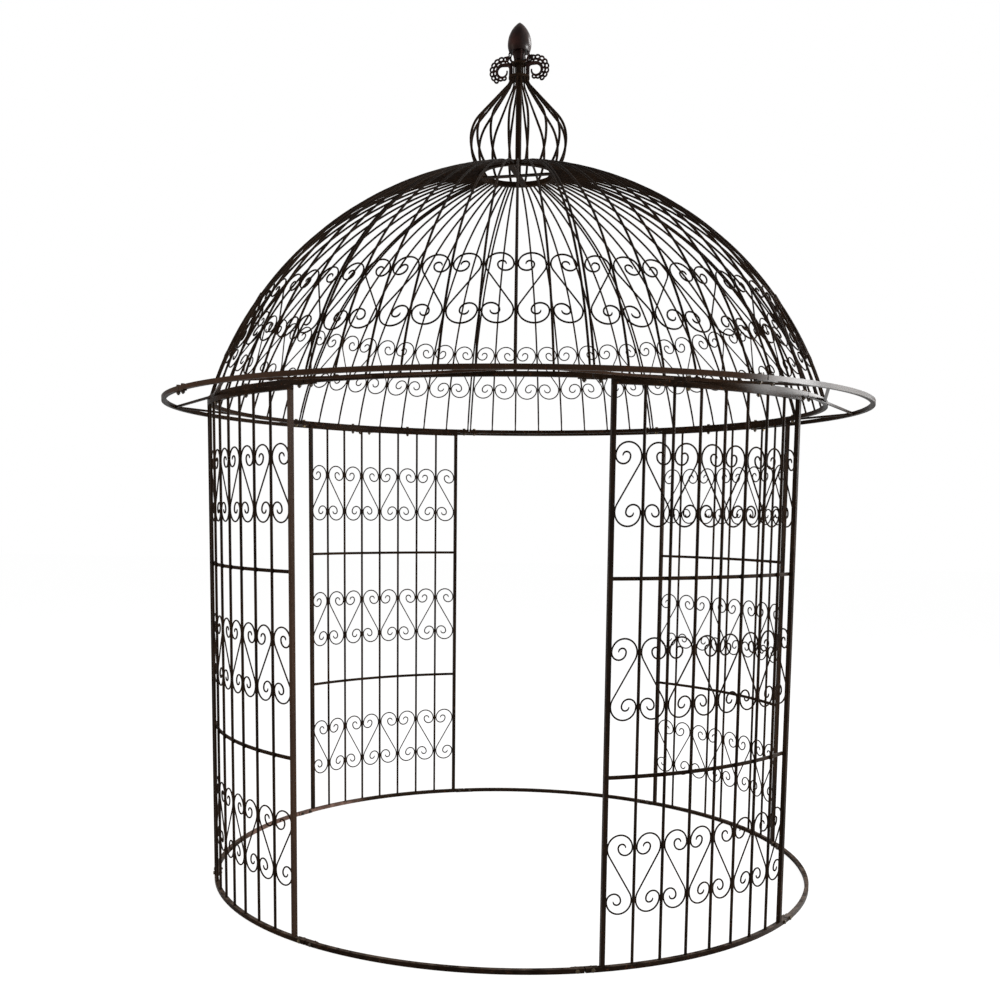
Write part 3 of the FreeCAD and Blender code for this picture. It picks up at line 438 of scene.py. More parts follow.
def casting_finish():
    """Painted casting: sand grain, rubbed lighter in places."""
    material, shader, place = new_finish("crown_casting", CASTING_SATIN)
    sand = noise(place, 420.0, 4.0)
    rubbed = noise(place, 26.0, 5.0).rising(0.42, 0.72)
    shader.inputs["Coat Roughness"].default_value = COAT_ROUGHNESS
    kept = along(place, "X").rising(*FINIAL_RIGHT) * along(place, "Z").rising(*FINIAL_LEVELS)
    feed(shader, Base_Color=rubbed.mix(DARK_CASTING, RUBBED_CASTING), Coat_Weight=kept * VARNISH,
         Roughness=0.36 + sand * 0.14 - rubbed * 0.06, Normal=bump(sand, 0.3, 0.0006))
    return material


crown_casting = casting_finish()
print("finish:", crown_casting.name)

# %% [markdown]
# ## Paint the solids
# Rails, uprights, bars and ribs keep the solid's own mesh and only get a finish. The name of a solid says
# which paint suits it, so one loop paints them all.

# %% Paint the solids
def solid_finish(node):
    """The finish that suits a solid, by its name."""
    if node.endswith("uprights"):
        return upright_paint
    if node.endswith("bars") or node == "middle_rod":
        return bar_paint
    if node.endswith("ribs") or node == "onion_cage_wires":
        return rib_paint
    if node.startswith("brim") and not node.endswith("plates"):
        return brim_paint
    return rail_paint


for node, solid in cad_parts.items():
    solid.data.materials.clear()
    solid.data.materials.append(solid_finish(node))
print("painted solids:", len(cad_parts))

# %% [markdown]
# ## Geometry Nodes recipes
# Nearly everything added here repeats or follows a line, so Geometry Nodes make it. The class below starts a
# tree with named inputs and ends it the same way each time: instances made real, shaded smooth and painted.

# %% Recipe
class Recipe:
    """A Geometry Nodes tree with named inputs."""

    def __init__(self, name):
        self.tree = bpy.data.node_groups.new(name, "GeometryNodeTree")
        for side in ("INPUT", "OUTPUT"):
            self.tree.interface.new_socket("Geometry", in_out=side, socket_type="NodeSocketGeometry")
        self.inlet = self.tree.nodes.new("NodeGroupInput")

    def input(self, name, kind):
        self.tree.interface.new_socket(name, in_out="INPUT", socket_type=kind)
        return self.inlet.outputs[name]

    def node(self, kind, settings=None, sockets=None, output=0):
        return add_node(self.tree, kind, settings, sockets).outputs[output]

    def attribute(self, name, kind):
        return self.node("GeometryNodeInputNamedAttribute", {"data_type": kind}, {"Name": name})

    def finish(self, geometry):
        material = self.input("Finish", "NodeSocketMaterial")
        whole = self.node("GeometryNodeRealizeInstances", None, {"Geometry": geometry})
        smooth = self.node("GeometryNodeSetShadeSmooth", None, {"Geometry": whole})
        painted = self.node("GeometryNodeSetMaterial", None, {"Geometry": smooth, "Material": material})
        add_node(self.tree, "NodeGroupOutput", None, {"Geometry": painted})
        return self.tree


print("a recipe offers:", [name for name in vars(Recipe) if not name.startswith("_")])

# %% [markdown]
# ## Two recipes
# One recipe bends wires: it takes polylines and sweeps a round section along them. The other places small
# pieces: each point says which piece stands on it, how it is turned and how it is stretched.

# %% Two recipes
def wire_recipe():
    """Sweep a round section along polylines, thinner where their thickness share is below 1."""
    recipe = Recipe("bend_wires")
    radius = recipe.input("Wire radius", "NodeSocketFloat")
    sides = recipe.input("Sides", "NodeSocketInt")
    section = recipe.node("GeometryNodeCurvePrimitiveCircle", None, {"Resolution": sides, "Radius": radius})
    line = recipe.node("GeometryNodeMeshToCurve", None, {0: recipe.inlet.outputs["Geometry"]})
    swept = recipe.node("GeometryNodeCurveToMesh", None,
                        {"Curve": line, "Profile Curve": section, "Fill Caps": True,
                         "Scale": recipe.attribute("share", "FLOAT")})
    return recipe.finish(swept)


def placing_recipe():
    """Place one of several pieces on each point."""
    recipe = Recipe("place_pieces")
    pieces = recipe.input("Pieces", "NodeSocketCollection")
    masters = recipe.node("GeometryNodeCollectionInfo", None,
                          {"Collection": pieces, "Separate Children": True, "Reset Children": True})
    turn = recipe.node("FunctionNodeEulerToRotation", None, {0: recipe.attribute("turn", "FLOAT_VECTOR")})
    placed = recipe.node("GeometryNodeInstanceOnPoints", None,
                         {"Points": recipe.inlet.outputs["Geometry"], "Instance": masters,
                          "Pick Instance": True, "Instance Index": recipe.attribute("kind", "INT"),
                          "Rotation": turn, "Scale": recipe.attribute("stretch", "FLOAT_VECTOR")})
    return recipe.finish(placed)


bend_wires = wire_recipe()
place_pieces = placing_recipe()
print("recipes:", bend_wires.name, place_pieces.name)

# %% [markdown]
# ## From recipe to mesh
# Only plain meshes are exported, so a recipe is run once and its result kept. Polylines and places go in as
# points of a mesh, and what differs between points as attributes.

# %% From recipe to mesh
def plain_mesh(name, mesh, tree, inputs):
    """Run a recipe on a mesh and keep the result as the plain mesh of a new object."""
    source = bpy.data.objects.new(name, mesh)
    scene.collection.objects.link(source)
    modifier = source.modifiers.new(tree.name, "NODES")
    modifier.node_group = tree
    for item in tree.interface.items_tree:
        if item.in_out == "INPUT" and item.name in inputs:
            modifier[item.identifier] = inputs[item.name]
    source.update_tag()
    made = source.evaluated_get(bpy.context.evaluated_depsgraph_get())
    result = bpy.data.meshes.new_from_object(made)
    source.modifiers.remove(modifier)
    source.data = result
    result.name = name
    bpy.data.meshes.remove(mesh)
    return source


def wires(name, lines, radius, sides, finish):
    """Bend wires along polylines. A line is a list of (point, thickness share) and whether it is closed."""
    points, links, shares = [], [], []
    for line, closed in lines:
        first = len(points)
        points += [point for point, _ in line]
        shares += [share for _, share in line]
        links += [(first + k, first + k + 1) for k in range(len(line) - 1)]
        if closed:
            links.append((first + len(line) - 1, first))
    mesh = bpy.data.meshes.new(name)
    mesh.from_pydata(points, links, [])
    mesh.attributes.new("share", "FLOAT", "POINT").data.foreach_set("value", shares)
    return plain_mesh(name, mesh, bend_wires, {"Wire radius": radius, "Sides": sides, "Finish": finish})


def placed(name, masters, seats, finish):
    """Place masters at seats. A seat is a matrix, the number of a master, and a stretch."""
    mesh = bpy.data.meshes.new(name)
    mesh.from_pydata([matrix.to_translation() for matrix, _, _ in seats], [], [])
    turns = [angle for matrix, _, _ in seats for angle in matrix.to_euler()]
    stretches = [share for _, _, stretch in seats for share in stretch]
    for attribute, values in (("turn", turns), ("stretch", stretches)):
        mesh.attributes.new(attribute, "FLOAT_VECTOR", "POINT").data.foreach_set("vector", values)
    mesh.attributes.new("kind", "INT", "POINT").data.foreach_set("value", [kind for _, kind, _ in seats])
    shelf = bpy.data.collections.new(name + "_masters")
    for master in masters:
        shelf.objects.link(master)
    piece = plain_mesh(name, mesh, place_pieces, {"Pieces": shelf, "Finish": finish})
    for master in masters:
        bpy.data.objects.remove(master)
    bpy.data.collections.remove(shelf)
    return piece


def triangles(piece):
    """Triangle count of a finished piece."""
    return sum(len(polygon.vertices) - 2 for polygon in piece.data.polygons)


print("sockets of a recipe:", len(bend_wires.interface.items_tree))

# %% [markdown]
# ## The S-scroll
# Each bay of the grille holds one scroll: two curls of three shrinking half turns, joined by a straight stem
# that is tangent to both. The smith draws the stem out a little, so it is thinner than the curls, and
# rounds off the two tips. Half circles and one tangent line give the whole shape.

# %% S-scroll
TURNS = (1.0, 0.57, 0.30)
TURN_STEPS = (16, 12, 9)
STEM_BEND = 0.050
STEM_SHARE = 0.94
TIP_SHARES = (0.55, 0.82, 0.95)


def arc(middle, radius, start, end, steps, up=Vector((0, 1, 0)), first=1):
    """Points of an arc in the plane of X and the up axis, from its first step on."""
    angles = [start + (end - start) * k / steps for k in range(first, steps + 1)]
    return [middle + (Vector((math.cos(a), 0, 0)) + up * math.sin(a)) * radius for a in angles]


def curl(outer, level, side):
    """Points of a curl, from its outer end inwards. The side is 1 for the lower curl and -1 for the upper."""
    points = [Vector((side * outer, level, 0))]
    direction = side
    for share, steps in zip(TURNS, TURN_STEPS):
        radius = outer * share
        middle = points[-1] - Vector((direction * radius, 0, 0))
        start = 0.0 if direction > 0 else math.pi
        points += arc(middle, radius, start, start - math.pi, steps)
        direction = -direction
    return points


def scroll_line(low_radius, high_radius, rise, hand):
    """Centre line of an S-scroll. Hand 1 leans left as seen from outside, hand -1 leans right."""
    first = Vector((low_radius - STEM_BEND, 0, 0))
    second = Vector((STEM_BEND - high_radius, rise, 0))
    apart = second - first
    lean = math.atan2(-apart.x, apart.y) + math.asin(2 * STEM_BEND / apart.length)
    stem = arc(first, STEM_BEND, 0, lean, 4)
    far_end = arc(second, STEM_BEND, math.pi + lean, math.pi, 4)
    stem_end = second - Vector((math.cos(lean), math.sin(lean), 0)) * STEM_BEND
    stem += [stem[-1].lerp(stem_end, 0.35), stem[-1].lerp(stem_end, 0.65), stem_end]
    low = curl(low_radius, 0, 1)[::-1]
    high = curl(high_radius, rise, -1)
    line = [(point, 1.0) for point in low]
    line += [(point, STEM_SHARE) for point in stem]
    line += [(point, 1.0) for point in far_end[:-1] + high]
    for k, share in enumerate(TIP_SHARES):
        line[k] = (line[k][0], share)
        line[-1 - k] = (line[-1 - k][0], share)
    return [(Vector((hand * point.x, point.y, 0)), share) for point, share in line]


print("half turns in a curl:", len(TURNS), "points on it:", len(curl(1.0, 0, 1)))

# %% [markdown]
# ## A scroll in its bay
# A scroll is flat, and a matrix, its seat, takes it to its bay on the round. Brushed coats of paint make the
# thin wire a little thicker, and four small welds hold it to the bars.

# %% A scroll in its bay
PAINT_COAT = 0.0004


def turned(angle):
    """Turn about the gazebo's axis, in degrees."""
    return Matrix.Rotation(math.radians(angle), 4, "Z")


def seat(angle, origin, upward=UP):
    """Matrix of a flat piece that stands on the gazebo's round: across, upward and outward are its axes."""
    across = Vector((0, 1, 0))
    axes = Matrix((across, upward, across.cross(upward))).transposed()
    return turned(angle) @ Matrix.Translation(origin) @ axes.to_4x4()


def scroll_master(low_radius, high_radius, rise, hand, number):
    """Swept mesh of one scroll, to be placed."""
    line = scroll_line(low_radius, high_radius, rise, hand)
    master = wires(f"scroll_{number}", [(line, False)], WIRE / 2 + PAINT_COAT, 8, scroll_paint)
    scene.collection.objects.unlink(master)
    return master


def scroll_welds(matrix, low_radius, high_radius, rise):
    """Weld beads where the four sides of a scroll touch the bars."""
    beads = []
    for side in (-1, 1):
        for radius, level in ((low_radius, 0), (high_radius, rise)):
            touch = Vector((side * (radius + WIRE / 2), level, 0))
            beads.append(matrix @ Matrix.Translation(touch))
    return beads


def bent_scrolls(node, masters, seats):
    """Place the scrolls of a solid in its stead."""
    piece = placed(f"{node}_bent", masters, seats, scroll_paint)
    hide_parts(node)
    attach(piece, "root")
    return piece


touch_beads = []
print("scroll wire with its paint:", round(1000 * (WIRE + 2 * PAINT_COAT), 1), "mm")

# %% [markdown]
# ## Wall scrolls
# Three bands of scrolls fill each wall, and the hand alternates from bay to bay. The lowest band starts with
# the other hand, so that hearts stand above lyres.

# %% Wall scrolls
SCROLL_HEIGHT = 0.266
BAND_LEVELS = ((0.316, 1), (0.950, -1), (1.563, -1))

wall_curl = clear_width / 2 - WIRE / 2 - TOUCH
wall_rise = SCROLL_HEIGHT - 2 * wall_curl - WIRE
scroll_plane = wall_radius * math.cos(math.radians(bar_pitch / 2))
for place, panel in PANELS.items():
    masters = [scroll_master(wall_curl, wall_curl, wall_rise, hand, number)
               for number, hand in enumerate((1, -1))]
    seats = []
    for level, first_hand in BAND_LEVELS:
        for bay in range(WALL_BARS + 1):
            hand = first_hand * (1 if bay % 2 == 0 else -1)
            angle = panel + (bay - WALL_BARS / 2) * bar_pitch
            matrix = seat(angle, Vector((scroll_plane, 0, level - wall_rise / 2)))
            seats.append((matrix, 0 if hand > 0 else 1, (1, 1, 1)))
            touch_beads += scroll_welds(matrix, wall_curl, wall_curl, wall_rise)
    piece = bent_scrolls(f"wall_{place}_scrolls", masters, seats)
print("wall scrolls:", len(PANELS) * len(seats), "triangles each wall:", triangles(piece))

# %% [markdown]
# ## Roof scrolls
# The band of scrolls in the dome follows the slope of the ribs. The bays get narrower towards the top, so the
# upper curl is smaller than the lower one, and the bays beside a seam lose the width of the doubled ribs.

# %% Roof scrolls
CURL_LEVELS = (2.095, 2.252)

rib_foot = Vector((wall_radius, 0, foot_top - rail_side / 2))
rib_head = Vector((crown_radius, 0, (crown_low.z + crown_high.z) / 2))
rib_chord = rib_head - rib_foot
rib_sag = math.sqrt(RIB_BEND ** 2 - (rib_chord.length / 2) ** 2)
rib_middle = (rib_foot + rib_head) / 2 + Vector((-rib_chord.z, 0, rib_chord.x)).normalized() * rib_sag


def rib_reach(level):
    """Distance from the axis to the middle of a rib at a level."""
    return rib_middle.x + math.sqrt(RIB_BEND ** 2 - (level - rib_middle.z) ** 2)


half_pitch = math.radians(rib_pitch / 2)
low_point, high_point = [Vector((rib_reach(level) * math.cos(half_pitch), 0, level)) for level in CURL_LEVELS]
slope = (high_point - low_point).normalized()
roof_rise = (high_point - low_point).length
beside = RIB / 2 + WIRE / 2 + TOUCH


def roof_curls(lost):
    """Radii of the lower and upper curl in a bay that loses some width at a seam."""
    return [rib_reach(level) * math.sin(half_pitch) - lost / 2 - beside for level in CURL_LEVELS]


roof_kinds = [(0.0, 1), (0.0, -1), (SEAM_OFFSET, 1), (SEAM_OFFSET, -1)]
for place, section in (PANELS | DOORWAYS).items():
    masters = [scroll_master(*roof_curls(lost), roof_rise, hand, number)
               for number, (lost, hand) in enumerate(roof_kinds)]
    seats = []
    for bay in range(ROOF_BAYS):
        lost = SEAM_OFFSET if bay in (0, ROOF_BAYS - 1) else 0.0
        hand = -1 if bay % 2 == 0 else 1
        inwards = 1 if bay == 0 else -1
        origin = low_point + Vector((0, inwards * lost / 2, 0))
        matrix = seat(section + (bay - (ROOF_BAYS - 1) / 2) * rib_pitch, origin, slope)
        seats.append((matrix, roof_kinds.index((lost, hand)), (1, 1, 1)))
        touch_beads += scroll_welds(matrix, *roof_curls(lost), roof_rise)
    piece = bent_scrolls(f"roof_{place}_scrolls", masters, seats)
print("roof scrolls:", len(PANELS | DOORWAYS) * len(seats), "triangles each section:", triangles(piece))

# %% [markdown]
# ## Weld beads
# Bars, rails, ribs and scrolls are held by small arc welds. A scroll is tacked where it touches a bar, a bar
# is welded all round where it meets a rail, and square pieces get a straight bead on each side. Four small
# masters, stretched and turned, make every one of them.

# %% Weld masters
WELD_THICKNESS = 0.30
RING_STEPS = 16
BEAD_STEPS = 10
WELD_SECTION = [math.tau * k / 6 for k in range(6)]
dice = random.Random(7)


def master_of(name, shape):
    """Object from a finished shape, with its faces turned outwards."""
    bmesh.ops.recalc_face_normals(shape, faces=shape.faces)
    mesh = bpy.data.meshes.new(name)
    shape.to_mesh(mesh)
    shape.free()
    return bpy.data.objects.new(name, mesh)


def skinned(shape, rings, closed):
    """Join rings of points with faces, all round or with two end caps."""
    loops = [[shape.verts.new(point) for point in ring] for ring in rings]
    sides = len(loops[0])
    for first, second in zip(loops, loops[1:] + (loops[:1] if closed else [])):
        for k in range(sides):
            shape.faces.new((first[k], first[(k + 1) % sides], second[(k + 1) % sides], second[k]))
    if not closed:
        shape.faces.new(loops[0])
        shape.faces.new(loops[-1])
    return shape


def weld_lump(number):
    """Uneven tack weld of radius 1."""
    shape = bmesh.new()
    bmesh.ops.create_icosphere(shape, subdivisions=2, radius=1.0)
    for vert in shape.verts:
        vert.co *= dice.uniform(0.82, 1.08)
    return master_of(f"weld_{number}_lump", shape)


def weld_ring(number):
    """Rippled weld round a bar of radius 1."""
    rings = []
    for turn in range(RING_STEPS):
        angle = math.tau * turn / RING_STEPS
        thick = WELD_THICKNESS * dice.uniform(0.85, 1.15)
        across = Vector((math.cos(angle), math.sin(angle), 0))
        rings.append([across * (1 + thick * math.cos(a)) + UP * thick * math.sin(a) for a in WELD_SECTION])
    return master_of(f"weld_{number}_ring", skinned(bmesh.new(), rings, True))


def weld_bead(number):
    """Rippled straight weld along X, from -1 to 1."""
    rings = []
    for step in range(BEAD_STEPS + 1):
        x = -1 + step / (BEAD_STEPS / 2)
        thick = WELD_THICKNESS * math.sqrt(1.02 - x ** 4) * (1.0 if step % 2 else 0.82)
        rings.append([Vector((x, thick * math.cos(a), thick * math.sin(a))) for a in WELD_SECTION])
    return master_of(f"weld_{number}_bead", skinned(bmesh.new(), rings, False))


LUMP, OTHER_LUMP, RING, BEAD = range(4)
weld_masters = [weld_lump(LUMP), weld_lump(OTHER_LUMP), weld_ring(RING), weld_bead(BEAD)]
print("weld masters:", [master.name for master in weld_masters])

# %% [markdown]
# ## Where the welds sit
# The welds follow from what they hold: bars on rails, mid rails on bars and posts, ribs on foot rails and the
# crown ring, cage wires on the ring and at the neck. Tack welds vary a little in size.

# %% Weld places
TOUCH_TACK = (0.0026, 0.0042)
RAIL_TACK = (0.0028, 0.0034)
POST_TACK = (0.0036, 0.0036)
RIB_TACK = (0.0050, 0.0058)
POST_BEAD = (UPRIGHT_SIDE * 0.46, 0.006, 0.006)
BAR_RING = (BAR * 0.53,) * 3
RIB_RING = (RIB * 0.55,) * 3
CAGE_RING = (CAGE_WIRE * 0.54,) * 3
NECK_RING = (CAGE_WIRE * CAGE_NECK_SHARE * 0.54,) * 3


def at(angle, radius, aside, level):
    """Matrix at a place on the round: a distance from the axis, a step aside, and a level."""
    return turned(angle) @ Matrix.Translation((radius, aside, level))


def tack(matrix, width, height):
    """Tack weld with a little variation in its size."""
    share = dice.uniform(0.85, 1.15)
    return (matrix, dice.choice((LUMP, OTHER_LUMP)), (width * share, height * share, width * share))


welds = [tack(matrix, *TOUCH_TACK) for matrix in touch_beads]
under_top = wall_top - rail_side
for panel in PANELS.values():
    for bar in range(WALL_BARS):
        angle = panel + (bar - (WALL_BARS - 1) / 2) * bar_pitch
        for level in (rail_side, under_top):
            welds.append((at(angle, wall_radius, 0, level), RING, BAR_RING))
        for rail_level in MID_RAIL_LEVELS:
            for side in (-1, 1):
                touch = at(angle, wall_radius - BAR * 0.5, 0, rail_level + side * MID_RAIL_HEIGHT / 2)
                welds.append(tack(touch, *RAIL_TACK))
    for side in (-1, 1):
        angle = panel + side * PANEL_ANGLE / 2
        for level in (rail_side, under_top):
            for face in (-1, 1):
                edge = at(angle, wall_radius, face * UPRIGHT_SIDE / 2, level)
                welds.append((edge, BEAD, POST_BEAD))
        for rail_level in MID_RAIL_LEVELS:
            inner = wall_radius - BAR / 2 - MID_RAIL_DEPTH / 2
            welds.append(tack(at(angle, inner, -side * UPRIGHT_SIDE / 2, rail_level), *POST_TACK))
for section in (PANELS | DOORWAYS).values():
    for rib in range(ROOF_BAYS + 1):
        aside = SEAM_OFFSET * ((rib == 0) - (rib == ROOF_BAYS))
        angle = section + (rib - ROOF_BAYS / 2) * rib_pitch
        welds.append((at(angle, rib_reach(foot_top), aside, foot_top), RING, RIB_RING))
        head = at(angle, crown_radius + CROWN_WIDTH / 2, aside, (crown_low.z + crown_high.z) / 2)
        welds.append(tack(head, *RIB_TACK))
for wire in range(CAGE_WIRES):
    angle = wire * 360 / CAGE_WIRES
    welds.append((at(angle, crown_radius, 0, crown_high.z), RING, CAGE_RING))
    welds.append((at(angle, CAGE_NECK, 0, neck_low.z), RING, NECK_RING))
weld_piece = placed("weld_beads", weld_masters, welds, weld_metal)
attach(weld_piece, "root")
print("welds:", len(welds), "triangles:", triangles(weld_piece))

# %% [markdown]
# ## Bolt shape
# The gazebo comes in a flat parcel and is bolted together on site. Each bolt has a hexagon head with a
# turned chamfer, and its nut leaves a little thread showing. Rings of points are joined, as for the welds.

# %% Bolt shape
HEX_CORNER = 0.0065 / math.cos(math.pi / 6)
HEAD = 0.0053
HEAD_EDGE = 0.78
NUT = 0.0065
NUT_EDGES = (0.18, 0.82)
CHAMFER = 0.94
SHANK = 0.004
SHANK_TIP = 0.8
SHANK_SIDES = 10
THREAD = 0.003
THREAD_CHAMFER = 0.0008


def hex_ring(level, share=1.0, rounded=False):
    """Twelve points of a hexagon, corners and middles of its flats, or of a circle."""
    points = []
    for k in range(12):
        flat = math.cos(math.pi / 6) if rounded or k % 2 else 1.0
        angle = math.tau * k / 12
        points.append(Vector((math.cos(angle), math.sin(angle), 0)) * HEX_CORNER * share * flat + UP * level)
    return points


def bolt_master(grip):
    """Bolt whose head bears on Z = 0, with its nut at the far end of the grip."""
    shape = bmesh.new()
    skinned(shape, [hex_ring(0), hex_ring(HEAD * HEAD_EDGE), hex_ring(HEAD, CHAMFER, True)], False)
    flats = [hex_ring(-grip - NUT * share) for share in NUT_EDGES]
    skinned(shape, [hex_ring(-grip, CHAMFER, True), *flats, hex_ring(-grip - NUT, CHAMFER, True)], False)
    end = -grip - NUT - THREAD
    angles = [math.tau * k / SHANK_SIDES for k in range(SHANK_SIDES)]
    rings = []
    for level, radius in ((0, SHANK), (end, SHANK), (end - THREAD_CHAMFER, SHANK * SHANK_TIP)):
        rings.append([Vector((radius * math.cos(a), radius * math.sin(a), level)) for a in angles])
    skinned(shape, rings, False)
    return master_of("bolt", shape)


print("bolt head:", round(2000 * HEX_CORNER, 1), "mm over its corners")

# %% [markdown]
# ## Bolt places
# The places are read from the solid bolts, one lump of points each. The longest side of a lump tells whether
# the bolt stands upright or points at the axis. On site, each one ends up turned by chance.

# %% Bolt places
def lumps_of(node):
    """Point sets of the separate lumps of a solid."""
    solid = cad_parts[node]
    shape = bmesh.new()
    shape.from_mesh(solid.data)
    bmesh.ops.remove_doubles(shape, verts=shape.verts, dist=1e-5)
    lumps = []
    seen = set()
    for first in shape.verts:
        if first in seen:
            continue
        seen.add(first)
        lump = [first]
        for vert in lump:
            near = [edge.other_vert(vert) for edge in vert.link_edges]
            lump += [other for other in near if other not in seen]
            seen.update(near)
        lumps.append([solid.matrix_world @ vert.co for vert in lump])
    shape.free()
    return lumps


def bolt_seat(points):
    """Matrix of a bolt from its solid's points, and the length of its grip."""
    low, high = [Vector([pick(point[k] for point in points) for k in range(3)]) for pick in (min, max)]
    middle = (low + high) / 2
    angle = math.degrees(math.atan2(middle.y, middle.x))
    flat = [turned(-angle) @ point for point in points]
    near = min(point.x for point in flat)
    far = max(point.x for point in flat)
    if high.z - low.z > far - near:
        return at(angle, (near + far) / 2, 0, high.z - HEAD), high.z - low.z - HEAD - NUT
    lying = Matrix.Rotation(math.pi / 2, 4, "Y")
    return at(angle, far - HEAD, 0, middle.z) @ lying, far - near - HEAD - NUT


for node in ("splice_bolts", "wall_to_roof_bolts"):
    found = [bolt_seat(points) for points in lumps_of(node)]
    turns = [Matrix.Rotation(dice.uniform(0, math.tau), 4, "Z") for _ in found]
    seats = [(matrix @ turn, 0, (1, 1, 1)) for (matrix, _), turn in zip(found, turns)]
    piece = placed(f"{node}_plated", [bolt_master(found[0][1])], seats, yellow_plating)
    piece.data.shade_flat()
    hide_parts(node)
    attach(piece, "root")
    print(node, len(seats), "grip", round(found[0][1], 4), "triangles:", triangles(piece))

# %% [markdown]
# ## Onion cage
# Sixteen wires swell out over the crown ring and draw in to the neck, along three arcs and a straight slope.
# The smith hammers them thinner where they crowd together, so that light still comes through between them.

# %% Onion cage
CAGE_RADIUS = 0.193
CAGE_WAIST = 2.951
SHOULDER_BEND = 0.138
NECK_BEND = 0.040
THINNER_FROM = 3.05


def cage_line():
    """Centre line of a cage wire from the neck down, with its thickness share."""
    swell = CAGE_RADIUS - crown_radius
    fall = CAGE_WAIST - crown_high.z
    foot_bend = (swell ** 2 + fall ** 2) / (2 * swell)
    foot = Vector((CAGE_RADIUS - foot_bend, 0, CAGE_WAIST))
    shoulder = Vector((CAGE_RADIUS - SHOULDER_BEND, 0, CAGE_WAIST))
    neck = Vector((CAGE_NECK + NECK_BEND, 0, neck_low.z))
    toward = neck - shoulder
    bow = math.atan2(toward.z, toward.x) - math.acos((SHOULDER_BEND + NECK_BEND) / toward.length)
    points = arc(neck, NECK_BEND, math.pi, math.pi + bow, 8, UP, 0)
    points += arc(shoulder, SHOULDER_BEND, bow, 0, 14, UP, 0)
    points += arc(foot, foot_bend, 0, -math.asin(fall / foot_bend), 10, UP)
    thinned = [max(0.0, (point.z - THINNER_FROM) / (neck_low.z - THINNER_FROM)) for point in points]
    return [(point, 1 - (1 - CAGE_NECK_SHARE) * thin) for point, thin in zip(points, thinned)]


def round_the_axis(name, lines, radius, sides, count, finish, first_angle=0):
    """Bend one set of wires and repeat it about the axis."""
    master = wires(name + "_one", lines, radius, sides, finish)
    scene.collection.objects.unlink(master)
    seats = [(turned(first_angle + k * 360 / count), 0, (1, 1, 1)) for k in range(count)]
    return placed(name, [master], seats, finish)


cage = round_the_axis("onion_cage_drawn_wires", [(cage_line(), False)], CAGE_WIRE / 2, sides=12,
                      count=CAGE_WIRES, finish=rib_paint)
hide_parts("onion_cage_wires")
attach(cage, "root")
print("cage wires:", CAGE_WIRES, "triangles:", triangles(cage))

# %% [markdown]
# ## Veins of the leaves
# Two leaves stand on the neck like the side leaves of a lily. A thick vein rises from the collar, bends
# outwards and winds into an open curl that shrinks, and the vein gets thinner, towards its tip.

# %% Veins
LEAVES = 2
VEIN = 0.016
VEIN_BEND = 0.016
LEAF_ROOT = 0.034
CURL_MIDDLE = Vector((0.068, 0, 3.222))
CURL_RADIUS = 0.0255
CURL_TOP = 90
CURL_END = -190
WINDS_IN = 0.28


def wound(angle):
    """Share of the curl's size that is left at an angle, from its top to its tip."""
    return 1 - WINDS_IN * (CURL_TOP - angle) / (CURL_TOP - CURL_END)


def from_curl(angle, reach, aside=0.0):
    """Point at a reach from the middle of the curl, and a step aside along the curl."""
    turn = math.radians(angle)
    out = Vector((math.cos(turn), 0, math.sin(turn)))
    sideways = Vector((math.sin(turn), 0, -math.cos(turn)))
    return CURL_MIDDLE + (out * reach + sideways * aside) * wound(angle)


def leaf_vein():
    """Centre line of a vein in the upright plane over +X, with its thickness share."""
    top = CURL_MIDDLE.z + CURL_RADIUS
    line = [(Vector((LEAF_ROOT, 0, stem_foot)), 1.0)]
    for k in range(7):
        turn = math.pi / 2 * k / 6
        across, drop = VEIN_BEND * (1 - math.cos(turn)), VEIN_BEND * (1 - math.sin(turn))
        line.append((Vector((LEAF_ROOT + across, 0, top - drop)), 1.0))
    for k in range(29):
        line.append((from_curl(CURL_TOP + (CURL_END - CURL_TOP) * k / 28, CURL_RADIUS), 0.9 - 0.5 * k / 28))
    return line


leaf_piece = round_the_axis("curled_leaf_veins", [(leaf_vein(), False)], VEIN / 2, sides=10, count=LEAVES,
                            finish=crown_casting)
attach(leaf_piece, "root")
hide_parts("curled_leaves")
print("veins:", LEAVES, "triangles:", triangles(leaf_piece))

# %% [markdown]
# ## Lace of the leaves
# Two rows of small wire loops stand round the outside of each curl, and their tops make a scalloped edge, as
# on lace. One longer loop, the petal, leans between the vein and the finial.

# %% Lace
LACE = 0.0076
LOOP_WIDTH = 0.0190
LACE_ROWS = ((94, -110, 0.0245, 0.0405), (106, -74, 0.0405, 0.0555))
PETAL_MIDDLE = Vector((0.042, 0, 3.264))
PETAL_TURN = math.radians(55)
PETAL_LENGTH, PETAL_WIDTH = 0.032, 0.015


def petal():
    """Long closed loop that leans outwards between the vein and the finial."""
    out = Vector((math.cos(PETAL_TURN), 0, math.sin(PETAL_TURN)))
    sideways = Vector((out.z, 0, -out.x))
    line = []
    for k in range(14):
        turn = math.tau * k / 14
        reach, aside = PETAL_LENGTH / 2 * math.cos(turn), PETAL_WIDTH / 2 * math.sin(turn)
        line.append((PETAL_MIDDLE + out * reach + sideways * aside, 1.0))
    return line, True


def lace_row(first, last, inner, outer):
    """Closed loops side by side between two reaches from the middle of the curl."""
    middle, half = (inner + outer) / 2, (outer - inner) / 2
    step = math.degrees(LOOP_WIDTH / middle)
    loops = []
    for number in range(int((first - last) / step) + 1):
        angle = first - number * step
        turns = [math.tau * k / 12 for k in range(12)]
        loop = [from_curl(angle, middle + half * math.cos(a), LOOP_WIDTH / 2 * math.sin(a)) for a in turns]
        loops.append(([(point, 1.0) for point in loop], True))
    return loops


